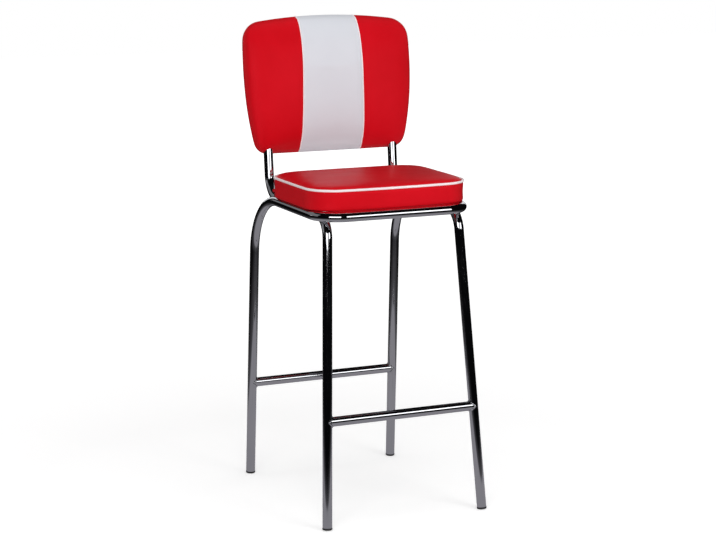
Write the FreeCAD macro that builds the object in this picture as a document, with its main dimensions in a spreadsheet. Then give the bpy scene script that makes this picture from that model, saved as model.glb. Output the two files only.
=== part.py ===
"""Diner counter stool: bent chrome tube frame, red box seat pad and crowned striped backrest.

Millimetres, +Z up, origin on the floor under the middle. The stool faces -Y, and left is -X.
"""
import FreeCAD
import Part
import Sketcher
import math
import os
from FreeCAD import Placement, Rotation, Vector

# Driving dimensions: alias, value in mm or degrees, what it is
DIMENSIONS = [
    ("tube_diameter", 22.0, "outside of every frame tube"),
    ("tube_wall", 1.5, "wall of every frame tube"),
    ("rail_height", 698.5, "axis of the seat loop above the floor"),
    ("rail_spacing", 368.0, "axis to axis of the two side rails"),
    ("rail_front", 198.0, "axis of the front rail ahead of the origin"),
    ("rail_corner_radius", 62.0, "centre line of the front corners of the seat loop"),
    ("rear_leg_radius", 148.0, "centre line of the bend from side rail to rear leg"),
    ("rear_foot_spread", 378.0, "axis to axis of the rear feet"),
    ("rear_foot_back", 246.0, "rear feet behind the origin"),
    ("rear_leg_top_back", 206.5, "rear leg line where it meets the rail height"),
    ("run_height", 695.5, "axis of the inner tubes under the seat"),
    ("run_spacing", 322.0, "axis to axis of the inner tubes"),
    ("front_foot_spread", 389.0, "axis to axis of the front feet"),
    ("front_foot_front", 246.0, "front feet ahead of the origin"),
    ("front_leg_top_front", 173.0, "front leg line where it meets the run height"),
    ("front_leg_radius", 52.0, "centre line of the bend from front leg to inner tube"),
    ("upright_radius", 57.0, "centre line of the bend from inner tube to upright"),
    ("upright_back", 169.9, "upright line where it meets the run height"),
    ("upright_length", 345.0, "from the run height to the end inside the backrest"),
    ("recline", 5.93, "lean of the uprights and backrest, degrees"),
    ("footrest_height", 241.8, "axis of the front footrest"),
    ("stretcher_height", 230.8, "axis of the rear stretcher"),
    ("bead_radius", 2.6, "weld bead"),
    ("glide_head", 5.5, "height of the plastic glide below the tube end"),
    ("glide_overhang", 0.4, "glide rim outside the tube"),
    ("glide_shank", 18.0, "length of the glide inside the tube"),
    ("strap_width", 25.0, "flat bar across the inner tubes"),
    ("strap_thickness", 3.0, "flat bar across the inner tubes"),
    ("strap_length", 329.0, "flat bar across the inner tubes"),
    ("front_strap_front", 110.0, "middle of the front bar ahead of the origin"),
    ("rear_strap_back", 76.0, "middle of the rear bar behind the origin"),
    ("seat_screw_spacing", 220.0, "left to right"),
    ("screw_diameter", 6.0, "machine screws"),
    ("pad_half_width", 195.0, "seat pad at its widest"),
    ("pad_front", 189.0, "front of the seat pad ahead of the origin"),
    ("pad_back", 108.0, "rear of the seat pad behind the origin"),
    ("pad_front_radius", 70.0, "front corners of the seat pad"),
    ("pad_rear_radius", 62.0, "rear corners of the seat pad"),
    ("pad_side_height", 43.5, "boxing band of the seat pad"),
    ("pad_crown", 13.2, "rise of the seat top above its piped edge"),
    ("piping_diameter", 5.6, "cord round the top edge of the seat pad"),
    ("vinyl", 1.6, "cover thickness"),
    ("foam_slack", 0.5, "between the covers and the foam"),
    ("board_thickness", 12.0, "seat board"),
    ("back_low", 12.7, "bottom edge of the backrest, up the uprights from their 780 mm mark"),
    ("back_high", 338, "top of the backrest, up the uprights from their 780 mm mark"),
    ("back_front", 36.5, "fullest point of the backrest ahead of the uprights' axes"),
    ("back_rear", 17.0, "rear of the backrest behind the uprights' axes"),
    ("back_board", 9.0, "plywood inside the backrest"),
    ("back_board_top", 364, "its width at the top"),
    ("back_board_bottom", 354, "its width at the bottom"),
    ("back_board_height", 206, "its height"),
    ("back_board_low", 84, "its lower edge, up the uprights from their 780 mm mark"),
    ("stripe_low", 158.3, "white stripe at the bottom"),
    ("stripe_high", 147.5, "white stripe at the top"),
    ("welt", 2.2, "width of the white welt in the stripe seams"),
]

doc = FreeCAD.newDocument("diner_counter_stool")
sheet = doc.addObject("Spreadsheet::Sheet", "Dimensions")
for row, (alias, value, note) in enumerate(DIMENSIONS, start=1):
    sheet.set("A%d" % row, alias)
    sheet.set("B%d" % row, str(value))
    sheet.set("C%d" % row, note)
    sheet.setAlias("B%d" % row, alias)
doc.recompute()


class Size:
    """A length that carries its value and the sheet expression that it comes from."""

    def __init__(self, value, text):
        self.value = value
        self.text = text

    @staticmethod
    def of(other):
        return other if isinstance(other, Size) else Size(float(other), repr(float(other)))

    def __add__(self, other):
        other = Size.of(other)
        return Size(self.value + other.value, "(%s + %s)" % (self.text, other.text))

    def __sub__(self, other):
        other = Size.of(other)
        return Size(self.value - other.value, "(%s - %s)" % (self.text, other.text))

    def __mul__(self, factor):
        return Size(self.value * factor, "(%s * %r)" % (self.text, float(factor)))

    def __truediv__(self, factor):
        return self * (1.0 / factor)

    def __neg__(self):
        return self * -1.0


def size(alias):
    """The named cell as a Size."""
    return Size(float(sheet.get(alias)), "Dimensions.%s" % alias)


def mm(alias):
    """The named cell as a plain number."""
    return float(sheet.get(alias))


TUBE_R = mm("tube_diameter") / 2
BORE_R = TUBE_R - mm("tube_wall")
SCREW_R = mm("screw_diameter") / 2
UP = Vector(0, 0, 1)
parts = []


def keep(obj, label):
    """Name a finished sub-part and list it for export."""
    obj.Label = label
    parts.append(obj)
    return obj


def shape_part(label, shape, placement=None):
    """A sub-part whose shape is worked out in code."""
    obj = doc.addObject("Part::Feature", label)
    obj.Shape = shape
    if placement is not None:
        obj.Placement = placement
    return keep(obj, label)


# Sketch helpers

def body_sketch(body, name, role="XY_Plane", lift=None):
    """A sketch on one of the body's own origin planes, raised by lift."""
    sketch = body.newObject("Sketcher::SketchObject", name)
    plane = [f for f in body.Origin.OriginFeatures if f.Role == role][0]
    sketch.AttachmentSupport = [(plane, "")]
    sketch.MapMode = "FlatFace"
    if lift is not None:
        sketch.setExpression("AttachmentOffset.Base.z", lift.text)
    return sketch


def pin_point(sketch, geo, end, x, y):
    """Hold a point of the sketch at x, y, both zero or more, bound to the sheet."""
    for kind, axis, length in (("DistanceX", -2, Size.of(x)), ("DistanceY", -1, Size.of(y))):
        if abs(length.value) < 1e-9:
            sketch.addConstraint(Sketcher.Constraint("PointOnObject", geo, end, axis))
            continue
        index = sketch.addConstraint(Sketcher.Constraint(kind, -1, 1, geo, end, length.value))
        sketch.setExpression("Constraints[%d]" % index, length.text)


def polygon(sketch, points):
    """A closed outline through points given as pairs of sizes, zero or more."""
    flat = [Vector(Size.of(x).value, Size.of(y).value, 0) for x, y in points]
    count = len(flat)
    for i in range(count):
        sketch.addGeometry(Part.LineSegment(flat[i], flat[(i + 1) % count]), False)
    for i in range(count):
        sketch.addConstraint(Sketcher.Constraint("Coincident", i, 2, (i + 1) % count, 1))
    for i, (x, y) in enumerate(points):
        pin_point(sketch, i, 1, x, y)


def circle(sketch, x, y, radius):
    """A circle bound to the sheet."""
    centre = Vector(Size.of(x).value, Size.of(y).value, 0)
    geo = sketch.addGeometry(Part.Circle(centre, Vector(0, 0, 1), Size.of(radius).value), False)
    pin_point(sketch, geo, 3, x, y)
    index = sketch.addConstraint(Sketcher.Constraint("Radius", geo, Size.of(radius).value))
    sketch.setExpression("Constraints[%d]" % index, Size.of(radius).text)


def pad(body, sketch, length):
    feature = body.newObject("PartDesign::Pad", "Pad")
    feature.Profile = sketch
    feature.setExpression("Length", length.text)
    doc.recompute()
    return feature


def pocket(body, sketch, length):
    """Cut upwards from the sketch and make sure that it takes something away."""
    before = body.Shape.Volume
    feature = body.newObject("PartDesign::Pocket", "Pocket")
    feature.Profile = sketch
    feature.setExpression("Length", length.text)
    feature.Reversed = True
    doc.recompute()
    if body.Shape.Volume > before - 1.0:
        raise RuntimeError("a pocket of %s cuts nothing" % body.Label)
    return feature


def turned(name, points):
    """A body turned about its own Z axis from a half outline of radius and height pairs."""
    body = doc.addObject("PartDesign::Body", name)
    sketch = body_sketch(body, name + "_profile", "XZ_Plane")
    polygon(sketch, points)
    feature = body.newObject("PartDesign::Revolution", name + "_turn")
    feature.Profile = sketch
    feature.ReferenceAxis = (sketch, ["V_Axis"])
    feature.Angle = 360.0
    doc.recompute()
    return body


def upright_edges(shape, wanted):
    """Names of the edges along Z whose middle passes the test."""
    names = []
    for i, edge in enumerate(shape.Edges, start=1):
        box = edge.BoundBox
        if box.ZLength > 1.0 and box.XLength < 0.01 and box.YLength < 0.01 and wanted(box.Center):
            names.append("Edge%d" % i)
    return names


# Bent tubes

def bent_path(points, radii):
    """Straight runs through the points, joined by tangent arcs of the given radii."""
    edges = []
    start = points[0]
    for before, corner, after, radius in zip(points, points[1:], points[2:], radii):
        into = (corner - before).normalize()
        out = (after - corner).normalize()
        reach = radius * math.tan(into.getAngle(out) / 2)
        first = corner - into * reach
        last = corner + out * reach
        inward = (out - into * into.dot(out)).normalize()
        centre = first + inward * radius
        middle = centre + (corner - centre).normalize() * radius
        edges.append(Part.LineSegment(start, first).toShape())
        edges.append(Part.Arc(first, middle, last).toShape())
        start = last
    edges.append(Part.LineSegment(start, points[-1]).toShape())
    return Part.Wire(edges)


def sweep_round(path, radius):
    """A round bar of the given radius along the path."""
    edge = path.Edges[0]
    tangent = edge.tangentAt(edge.FirstParameter)
    ring = Part.Wire([Part.Circle(edge.valueAt(edge.FirstParameter), tangent, radius).toShape()])
    return path.makePipeShell([ring], True, False)


def tube_along(points, radii):
    path = bent_path(points, radii)
    tube = sweep_round(path, TUBE_R).cut(sweep_round(path, BORE_R))
    section = math.pi * (TUBE_R ** 2 - BORE_R ** 2)
    if abs(tube.Volume / (section * path.Length) - 1) > 0.01:
        raise RuntimeError("a bent tube has the wrong volume")
    return tube


def rod(start, end, radius):
    return Part.makeCylinder(radius, (end - start).Length, start, end - start)


def mirrored(vector):
    return Vector(-vector.x, vector.y, vector.z)


FRONT_FOOT = Vector(-mm("front_foot_spread") / 2, -mm("front_foot_front"), 0)
FRONT_KNEE = Vector(-mm("run_spacing") / 2, -mm("front_leg_top_front"), mm("run_height"))
REAR_FOOT = Vector(-mm("rear_foot_spread") / 2, mm("rear_foot_back"), 0)
REAR_KNEE = Vector(-mm("rail_spacing") / 2, mm("rear_leg_top_back"), mm("rail_height"))
FRONT_CORNER = Vector(-mm("rail_spacing") / 2, -mm("rail_front"), mm("rail_height"))
UPRIGHT_KNEE = Vector(-mm("run_spacing") / 2, mm("upright_back"), mm("run_height"))
RECLINE = math.radians(mm("recline"))
UPRIGHT_DIRECTION = Vector(0, math.sin(RECLINE), math.cos(RECLINE))
UPRIGHT_END = UPRIGHT_KNEE + UPRIGHT_DIRECTION * mm("upright_length")
FRONT_LEG = (FRONT_KNEE - FRONT_FOOT).normalize()
REAR_LEG = (REAR_KNEE - REAR_FOOT).normalize()

# The backrest is drawn in its own frame: X across, -Y ahead of the uprights' axes, Z up along them
BACK_MARK = 780.0
BACK_ORIGIN = UPRIGHT_KNEE + UPRIGHT_DIRECTION * ((BACK_MARK - UPRIGHT_KNEE.z) / UPRIGHT_DIRECTION.z)
BACK_PLACE = Placement(Vector(0, BACK_ORIGIN.y, BACK_MARK), Rotation(Vector(1, 0, 0), -mm("recline")))
BACK_SCREW_LEVELS = (100.0, 230.0)


def seat_loop():
    """One tube: rear foot, side rail, front rail, side rail, rear foot."""
    end = REAR_FOOT + REAR_LEG * mm("glide_head")
    points = [end, REAR_KNEE, FRONT_CORNER]
    points += [mirrored(p) for p in reversed(points)]
    rear, front = mm("rear_leg_radius"), mm("rail_corner_radius")
    shape_part("seat_frame_tube", tube_along(points, [rear, front, front, rear]))


def inner_tube(label, flip):
    """One tube: front leg, run beside the side rail, upright of the backrest."""
    points = [FRONT_FOOT + FRONT_LEG * mm("glide_head"), FRONT_KNEE, UPRIGHT_KNEE, UPRIGHT_END]
    if flip:
        points = [mirrored(p) for p in points]
    tube = tube_along(points, [mm("front_leg_radius"), mm("upright_radius")])
    for level in BACK_SCREW_LEVELS:
        hole = rod(Vector(points[-1].x, -TUBE_R - 2, level), Vector(points[-1].x, TUBE_R + 2, level),
                   SCREW_R + 0.2)
        hole.Placement = BACK_PLACE.multiply(hole.Placement)
        tube = tube.cut(hole)
    shape_part(label, tube)


# Stretchers, coped to the legs, and their weld beads

def cylinder(name, start, end, radius):
    """A cylinder object from start to end, its radius bound to the sheet."""
    obj = doc.addObject("Part::Cylinder", name)
    obj.Height = (end - start).Length
    obj.setExpression("Radius", radius.text)
    obj.Placement = Placement(start, Rotation(UP, end - start))
    return obj


def stretcher(label, foot, leg, height):
    """A cross tube between a pair of legs, its ends coped to fit round them."""
    left = foot + leg * (height / leg.z)
    right = mirrored(left)
    radius = size("tube_diameter") / 2
    outside = cylinder(label + "_outside", left, right, radius)
    reach = leg * mm("tube_diameter") * 2
    tools = [cylinder(label + "_bore", left, right, radius - size("tube_wall"))]
    for side, point, along in (("left", left, reach), ("right", right, mirrored(reach))):
        tools.append(cylinder("%s_%s_cope" % (label, side), point - along, point + along, radius))
    fused = doc.addObject("Part::MultiFuse", label + "_tools")
    fused.Shapes = tools
    cut = doc.addObject("Part::Cut", label)
    cut.Base = outside
    cut.Tool = fused
    keep(cut, label)


def saddle_bead(joint, across, leg):
    """A bead round the joint of two tubes of one size: two half ellipses where they meet."""
    normal = across.cross(leg).normalize()
    stretch = TUBE_R / math.sin(across.getAngle(leg))
    bead = None
    for corner in (across + leg, across - leg):
        ellipse = Part.Ellipse(joint + corner * stretch, joint + normal * TUBE_R, joint)
        half = Part.ArcOfEllipse(ellipse, -math.pi / 2, math.pi / 2).toShape()
        piece = sweep_round(Part.Wire([half]), mm("bead_radius"))
        bead = piece if bead is None else bead.fuse(piece)
    reach = TUBE_R * 3
    bead = bead.cut(rod(joint - leg * reach, joint + leg * reach, TUBE_R))
    return bead.cut(rod(joint, joint + across * reach, TUBE_R))


def stretcher_welds(label, foot, leg, height):
    joint = foot + leg * (height / leg.z)
    across = Vector(1, 0, 0)
    beads = [saddle_bead(joint, across, leg), saddle_bead(mirrored(joint), -across, mirrored(leg))]
    shape_part(label, Part.makeCompound([solid for bead in beads for solid in bead.Solids]))


def straight_bead(start, end, radius, neighbours):
    """A round-ended bead in a corner, cut back to the pieces that it joins."""
    bead = rod(start, end, radius)
    for tip in (start, end):
        bead = bead.fuse(Part.makeSphere(radius, tip))
    for neighbour in neighbours:
        bead = bead.cut(neighbour)
    return max(bead.Solids, key=lambda solid: solid.Volume)


def side_rail_welds():
    """Beads in the groove under the side rail and the inner tube."""
    beads = []
    length = 24.0
    for side in (-1, 1):
        rail_x, run_x = side * mm("rail_spacing") / 2, side * mm("run_spacing") / 2
        rail = rod(Vector(rail_x, -200, mm("rail_height")), Vector(rail_x, 200, mm("rail_height")), TUBE_R)
        run = rod(Vector(run_x, -200, mm("run_height")), Vector(run_x, 200, mm("run_height")), TUBE_R)
        for y in (-105.0, -25.0, 40.0):
            low = Vector((rail_x + run_x) / 2, y - length / 2, mm("run_height") - 6.5)
            beads.append(straight_bead(low, low + Vector(0, length, 0), 4.2, [rail, run]))
    shape_part("side_rail_welds", Part.makeCompound(beads))


# Cross bars under the seat

def strap_places():
    return (("front_seat_strap", -mm("front_strap_front")), ("rear_seat_strap", mm("rear_strap_back")))


def strap(label, y):
    """A flat bar on the inner tubes, with two screw holes."""
    body = doc.addObject("PartDesign::Body", label)
    long_side, short_side, thick = size("strap_length"), size("strap_width"), size("strap_thickness")
    outline = body_sketch(body, label + "_outline")
    polygon(outline, [(0, 0), (long_side, 0), (long_side, short_side), (0, short_side)])
    bar = pad(body, outline, thick)
    corners = body.newObject("PartDesign::Fillet", label + "_corners")
    corners.Base = (bar, upright_edges(bar.Shape, lambda middle: True))
    corners.Radius = 4.0
    doc.recompute()
    holes = body_sketch(body, label + "_holes")
    for side in (-0.5, 0.5):
        circle(holes, long_side / 2 + size("seat_screw_spacing") * side, short_side / 2, SCREW_R + 0.5)
    pocket(body, holes, thick)
    top_of_run = mm("run_height") + TUBE_R
    body.Placement.Base = Vector(-long_side.value / 2, y - short_side.value / 2, top_of_run)
    keep(body, label)


def seat_strap_welds():
    """A bead across each end of the two bars."""
    beads = []
    half_length, half_width = mm("strap_length") / 2, mm("strap_width") / 2
    top_of_run = mm("run_height") + TUBE_R
    for side in (-1, 1):
        run_x = side * mm("run_spacing") / 2
        run = rod(Vector(run_x, -150, mm("run_height")), Vector(run_x, 150, mm("run_height")), TUBE_R)
        for _, y in strap_places():
            end = Vector(side * (half_length + 0.2), y - half_width + 4, top_of_run - 0.4)
            bar = Part.makeBox(2 * half_length, 2 * half_width, mm("strap_thickness"),
                               Vector(-half_length, y - half_width, top_of_run))
            beads.append(straight_bead(end, end + Vector(0, 2 * half_width - 8, 0), 2.4, [run, bar]))
    shape_part("seat_strap_welds", Part.makeCompound(beads))


# Glides

def glide(label, foot, leg):
    """A plug glide with a shallow domed foot, cut flat where it stands."""
    rim = size("tube_diameter") / 2 + size("glide_overhang")
    head = size("glide_head")
    top = head + size("glide_shank")
    shank = size("tube_diameter") / 2 - size("tube_wall") - 0.1
    lift = 1.0
    body = turned(label + "_plug", [
        (0, lift - 1.0), (5.5, lift - 0.6), (9.0, lift + 0.3), (rim - 0.7, lift + 1.6), (rim, lift + 2.6),
        (rim, head + lift - 0.5), (rim - 0.5, head + lift), (shank, head + lift), (shank, top - 1.5),
        (shank - 1.5, top), (0, top)])
    body.Placement = Placement(foot - leg * lift, Rotation(UP, leg))
    floor = doc.addObject("Part::Box", label + "_floor")
    floor.Length, floor.Width, floor.Height = 60, 60, 20
    floor.Placement.Base = Vector(foot.x - 30, foot.y - 30, -20)
    cut = doc.addObject("Part::Cut", label)
    cut.Base = body
    cut.Tool = floor
    keep(cut, label)


# Seat pad

PAD_BOTTOM = mm("rail_height") + TUBE_R + 0.1
PAD_EDGE = PAD_BOTTOM + mm("pad_side_height")
BOARD_BOTTOM = PAD_BOTTOM + mm("vinyl")
BOARD_TOP = BOARD_BOTTOM + mm("board_thickness")
FRONT_SWELL, SIDE_SWELL, REAR_SWELL = math.radians(4.0), math.radians(0.8), math.radians(2.0)


def pad_outline(height, inset, flat=False):
    """The pad's rounded, slightly swollen outline, drawn in by inset, as eight tangent arcs."""
    front_r = max(mm("pad_front_radius") - inset, 8.0)
    rear_r = max(mm("pad_rear_radius") - inset, 8.0)
    half = mm("pad_half_width") - inset
    front, back = -mm("pad_front") + inset, mm("pad_back") - inset
    swell = 0.2 if flat else 1.0
    corners = [
        (half - front_r, front + front_r, front_r, -90, FRONT_SWELL * swell, SIDE_SWELL * swell),
        (half - rear_r, back - rear_r, rear_r, 0, SIDE_SWELL * swell, REAR_SWELL * swell),
        (rear_r - half, back - rear_r, rear_r, 90, REAR_SWELL * swell, SIDE_SWELL * swell),
        (front_r - half, front + front_r, front_r, 180, SIDE_SWELL * swell, FRONT_SWELL * swell),
    ]
    arcs = []
    for x, y, radius, start, before, after in corners:
        angles = (math.radians(start) + before, math.radians(start + 45), math.radians(start + 90) - after)
        arcs.append([Vector(x + radius * math.cos(a), y + radius * math.sin(a), height) for a in angles])
    swells = (SIDE_SWELL, REAR_SWELL, SIDE_SWELL, FRONT_SWELL)
    edges = []
    for i, arc in enumerate(arcs):
        edges.append(Part.Arc(*arc).toShape())
        begin, end = arc[2], arcs[(i + 1) % 4][0]
        outward = (end - begin).cross(UP).normalize()
        bow = outward * ((end - begin).Length / 2 * math.tan(swells[i] * swell / 2))
        edges.append(Part.Arc(begin, (begin + end) / 2 + bow, end).toShape())
    return Part.Wire(edges)


def loft(wires):
    """A solid through the outlines, of degree two so that it can't swing out between them."""
    return Part.makeLoft(wires, True, False, False, 2)


def pad_sides(extra, low, high):
    """The boxed sides from low to high, drawn in at the waist and under the lower edge."""
    tall = PAD_EDGE - PAD_BOTTOM
    wires = []
    for share, inset in ((0.0, 3.8), (0.12, 0.6), (0.5, 1.6), (0.85, 0.4), (1.0, 0.3)):
        height = PAD_BOTTOM + tall * share
        wires.append(pad_outline(low + (high - low) * (height - PAD_BOTTOM) / tall, inset + extra))
    return loft(wires)


def pad_crown_body(edge, extra, base):
    """The crowned top from base up, its edge drawn in by edge."""
    rise = mm("pad_crown")
    bottom = PAD_EDGE + 1.0 - extra
    wires = [pad_outline(base, edge + extra)]
    for share, inset in ((0.0, 0.0), (0.28, 3.5), (0.48, 9.0), (0.65, 18.0), (0.79, 34.0), (0.91, 58.0),
                         (1.0, 96.0)):
        wires.append(pad_outline(bottom + rise * share, edge + extra + inset))
    return loft(wires[1:]).fuse(loft(wires[:2])).removeSplitter()


def prism(wire, height):
    return Part.Face(wire).extrude(Vector(0, 0, height))


def seat_board():
    """Plywood with counterbored holes for the tee nuts."""
    label = "seat_board"
    gap = size("vinyl") + 3.6
    half = size("pad_half_width") - gap
    front, back = size("pad_front") - gap, size("pad_back") - gap
    body = doc.addObject("PartDesign::Body", label)
    outline = body_sketch(body, label + "_outline")
    wide, deep = half * 2, front + back
    polygon(outline, [(0, 0), (wide, 0), (wide, deep), (0, deep)])
    slab = pad(body, outline, size("board_thickness"))
    base = slab
    for name, side, radius in (("front", -1, "pad_front_radius"), ("rear", 1, "pad_rear_radius")):
        corners = body.newObject("PartDesign::Fillet", "%s_%s_corners" % (label, name))
        test = lambda middle, s=side: (middle.y - deep.value / 2) * s > 0
        corners.Base = (base, upright_edges(base.Shape, test))
        corners.setExpression("Radius", (size(radius) - gap).text)
        doc.recompute()
        base = corners
    for name, lift, radius in (("holes", None, SCREW_R + 1.0),
                               ("flange_seats", size("board_thickness") - 1.3, 9.6)):
        holes = body_sketch(body, "%s_%s" % (label, name), lift=lift)
        for x, y in SEAT_SCREWS:
            circle(holes, half + x, front + y, radius)
        pocket(body, holes, size("board_thickness"))
    body.Placement.Base = Vector(-half.value, -front.value, BOARD_BOTTOM)
    keep(body, label)


SEAT_SCREWS = [(side * mm("seat_screw_spacing") / 2, y) for _, y in strap_places() for side in (-1, 1)]


def seat_soft_parts():
    """Foam, top cover, boxing, piping and the dark cloth under the board."""
    vinyl = mm("vinyl")
    cord = mm("piping_diameter") / 2
    edge_inset = cord * 2 - 1.6
    soft = vinyl + mm("foam_slack")
    inner_sides = pad_sides(soft, PAD_BOTTOM, PAD_EDGE)
    above_board = Part.makeBox(500, 500, 200, Vector(-250, -250, BOARD_TOP))
    foam = inner_sides.common(above_board)
    foam = foam.fuse(pad_crown_body(edge_inset, soft, PAD_EDGE - 1.0))
    shape_part("seat_foam", foam.removeSplitter())
    top = pad_crown_body(edge_inset, 0.0, PAD_EDGE + 0.1)
    shape_part("seat_top_cover", top.cut(pad_crown_body(edge_inset, vinyl, PAD_EDGE - 1.0)))
    boxing = pad_sides(0.0, PAD_BOTTOM, PAD_EDGE)
    room = pad_sides(vinyl, PAD_BOTTOM, PAD_EDGE)
    room = room.common(Part.makeBox(500, 500, 200, Vector(-250, -250, BOARD_BOTTOM)))
    boxing = boxing.cut(room).cut(prism(pad_outline(PAD_BOTTOM - 1, 22.0, True), 10))
    shape_part("seat_boxing", boxing)
    path = pad_outline(PAD_EDGE + cord + 0.1, cord - 1.8)
    shape_part("seat_piping", sweep_round(path, cord))
    cloth = prism(pad_outline(PAD_BOTTOM + 0.3, 23.0, True), 0.8)
    for x, y in SEAT_SCREWS:
        cloth = cloth.cut(rod(Vector(x, y, PAD_BOTTOM - 1), Vector(x, y, BOARD_BOTTOM + 1), SCREW_R + 1.0))
    shape_part("seat_dust_cover", cloth)


# Fasteners: one template each, repeated at every place

def repeat(label, template, placements):
    """The template's solid at each placement, as separate solids of one node."""
    solids = []
    for placement in placements:
        copy = template.Shape.copy()
        copy.Placement = placement
        solids.append(copy)
    shape_part(label, Part.makeCompound(solids))


def pan_screw(name, length):
    """A pan-head machine screw: underside of the head at 0, shank up the Z axis."""
    body = turned(name, [(0, 0), (4.2, 0), (5.4, 0.9), (5.9, 2.2), (5.9, 3.4), (SCREW_R, 3.4),
                         (SCREW_R, length + 2.9), (SCREW_R - 0.5, length + 3.4), (0, length + 3.4)])
    arm, width = 3.2, 1.0
    slot = body_sketch(body, name + "_recess")
    polygon(slot, [(0, 0), (width, 0), (width, arm), (0, arm)])
    slot.AttachmentOffset = Placement(Vector(-width / 2, -arm / 2, 0), Rotation())
    pocket(body, slot, Size.of(1.6))
    cross = body_sketch(body, name + "_recess_cross")
    polygon(cross, [(0, 0), (arm, 0), (arm, width), (0, width)])
    cross.AttachmentOffset = Placement(Vector(-arm / 2, -width / 2, 0), Rotation())
    pocket(body, cross, Size.of(1.6))
    return body


def tee_nut(name):
    """Flange at the bottom, threaded barrel up the Z axis."""
    return turned(name, [(SCREW_R, 0), (9.5, 0), (9.5, 1.3), (SCREW_R + 0.95, 1.3), (SCREW_R + 0.95, 8.0),
                         (SCREW_R, 8.0)])


def fasteners():
    """Screws, washers and tee nuts of the seat and the backrest."""
    strap_bottom = mm("run_height") + TUBE_R
    washer_thickness, head = 1.6, 3.4
    washer = turned("washer_template", [(SCREW_R + 0.2, 0), (9.0, 0), (9.0, washer_thickness),
                                        (SCREW_R + 0.2, washer_thickness)])
    seat_screw = pan_screw("seat_screw_template", 16.0)
    nut = tee_nut("tee_nut_template")
    turned_over = Rotation(Vector(1, 0, 0), 180)
    washers, screws, nuts = [], [], []
    for x, y in SEAT_SCREWS:
        washers.append(Placement(Vector(x, y, strap_bottom - washer_thickness), Rotation()))
        screws.append(Placement(Vector(x, y, strap_bottom - washer_thickness - head), Rotation()))
        nuts.append(Placement(Vector(x, y, BOARD_TOP), turned_over))
    repeat("seat_washers", washer, washers)
    repeat("seat_screws", seat_screw, screws)
    repeat("seat_tee_nuts", nut, nuts)
    back_screw = pan_screw("back_screw_template", 30.0)
    forward = Rotation(UP, Vector(0, -1, 0))
    rearward = Rotation(UP, Vector(0, 1, 0))
    screws, nuts = [], []
    for level in BACK_SCREW_LEVELS:
        for side in (-1, 1):
            x = side * mm("run_spacing") / 2
            head_end = Vector(x, TUBE_R + head, level)
            screws.append(BACK_PLACE.multiply(Placement(head_end, forward)))
            front = Vector(x, -BOARD_FACE - mm("back_board") + 0.2, level)
            nuts.append(BACK_PLACE.multiply(Placement(front, rearward)))
    repeat("backrest_screws", back_screw, screws)
    repeat("backrest_tee_nuts", nut, nuts)


# Backrest

BACK_LOW, BACK_HIGH = mm("back_low"), mm("back_high")
BACK_FRONT, BACK_REAR = mm("back_front"), -mm("back_rear")
BOARD_FACE = TUBE_R + 0.2

# Right half of the outline, X and level: middle, end, then the middle and end of each next arc
BACK_OUTLINE = [(0, 338.0), (172.6, 326.8), (201.1, 312.1), (213.6, 282.6), (215.0, 222), (213.0, 160),
                (206.9, 99.0), (196.0, 38.7), (184.4, 20.0), (163.7, 12.7), (0, 12.3)]

# The pad as contours from the rear forward: distance ahead of the uprights' axes, how far the
# contour is drawn in at the sides, the top and the bottom, how far its lower edge bows up in the
# middle, and how round it is
BACK_CONTOURS = [
    (-17.0, 24.0, 15.0, 11.0, 0.0, 0.0),
    (-15.6, 15.0, 7.0, 4.6, 0.0, 0.0),
    (-12.0, 8.0, 2.2, 2.2, 0.0, 0.0),
    (-7.0, 2.5, 0.2, 2.7, 3.4, 0.0),
    (0.0, 0.8, 2.8, 3.6, 10.2, 0.0),
    (6.0, 0.0, 5.8, 9.6, 16.0, 0.0),
    (12.0, 0.3, 12.0, 15.0, 20.6, 0.02),
    (17.5, 4.4, 19.8, 26.0, 21.6, 0.05),
    (22.5, 10.5, 30.0, 44.0, 18.0, 0.1),
    (27.0, 20.0, 41.0, 70.0, 13.0, 0.17),
    (31.0, 36.0, 54.0, 104.0, 7.0, 0.26),
    (34.2, 62.0, 72.0, 145.0, 0.0, 0.4),
    (36.6, 100.0, 93.0, 175.0, 0.0, 0.6),
    (38.0, 150.0, 110.0, 193.0, 0.0, 0.8),
]


def back_contour(ahead, side, top, bottom, bow, roundness):
    """One closed contour of the backrest as ten arcs, in the plane that lies ahead of the axes."""
    half = max(x for x, _ in BACK_OUTLINE)
    middle, reach = (BACK_HIGH + BACK_LOW) / 2, (BACK_HIGH - BACK_LOW) / 2
    low, high = BACK_LOW + bottom, BACK_HIGH - top
    right = []
    for x, level in BACK_OUTLINE:
        across, along = x / half, (level - middle) / reach
        angle = math.atan2(along, across)
        across += (math.cos(angle) - across) * roundness
        along += (math.sin(angle) - along) * roundness
        right.append(Vector(across * (half - side), -ahead, (low + high) / 2 + along * (high - low) / 2))
    right[-1].z += bow
    left = [mirrored(v) for v in right]
    turns = [right[i:i + 3] for i in range(1, 9, 2)]
    turns.append([right[9], right[10], left[9]])
    turns += [[c, b, a] for a, b, c in (left[i:i + 3] for i in range(7, 0, -2))]
    turns.append([left[1], left[0], right[1]])
    return Part.Wire([Part.Arc(*turn).toShape() for turn in turns])


def back_solid(inset):
    """The whole crowned pad of the backrest, drawn in by inset on every side."""
    first, last = BACK_CONTOURS[0][0], BACK_CONTOURS[-1][0]
    squeeze = (last - first - 2 * inset) / (last - first)
    fuller = BACK_FRONT / last
    wires = []
    for ahead, side, top, bottom, bow, roundness in BACK_CONTOURS:
        depth = first + inset + (ahead - first) * squeeze
        depth *= fuller if depth > 0 else BACK_REAR / first
        wires.append(back_contour(depth, side + inset, top + inset, bottom + inset, bow, roundness))
    return loft(wires)


def back_channels(clearance, low, high):
    """The two bars of space that the uprights fill."""
    bars = [rod(Vector(side * mm("run_spacing") / 2, 0, low), Vector(side * mm("run_spacing") / 2, 0, high),
                TUBE_R + clearance) for side in (-1, 1)]
    return Part.makeCompound(bars)


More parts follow.
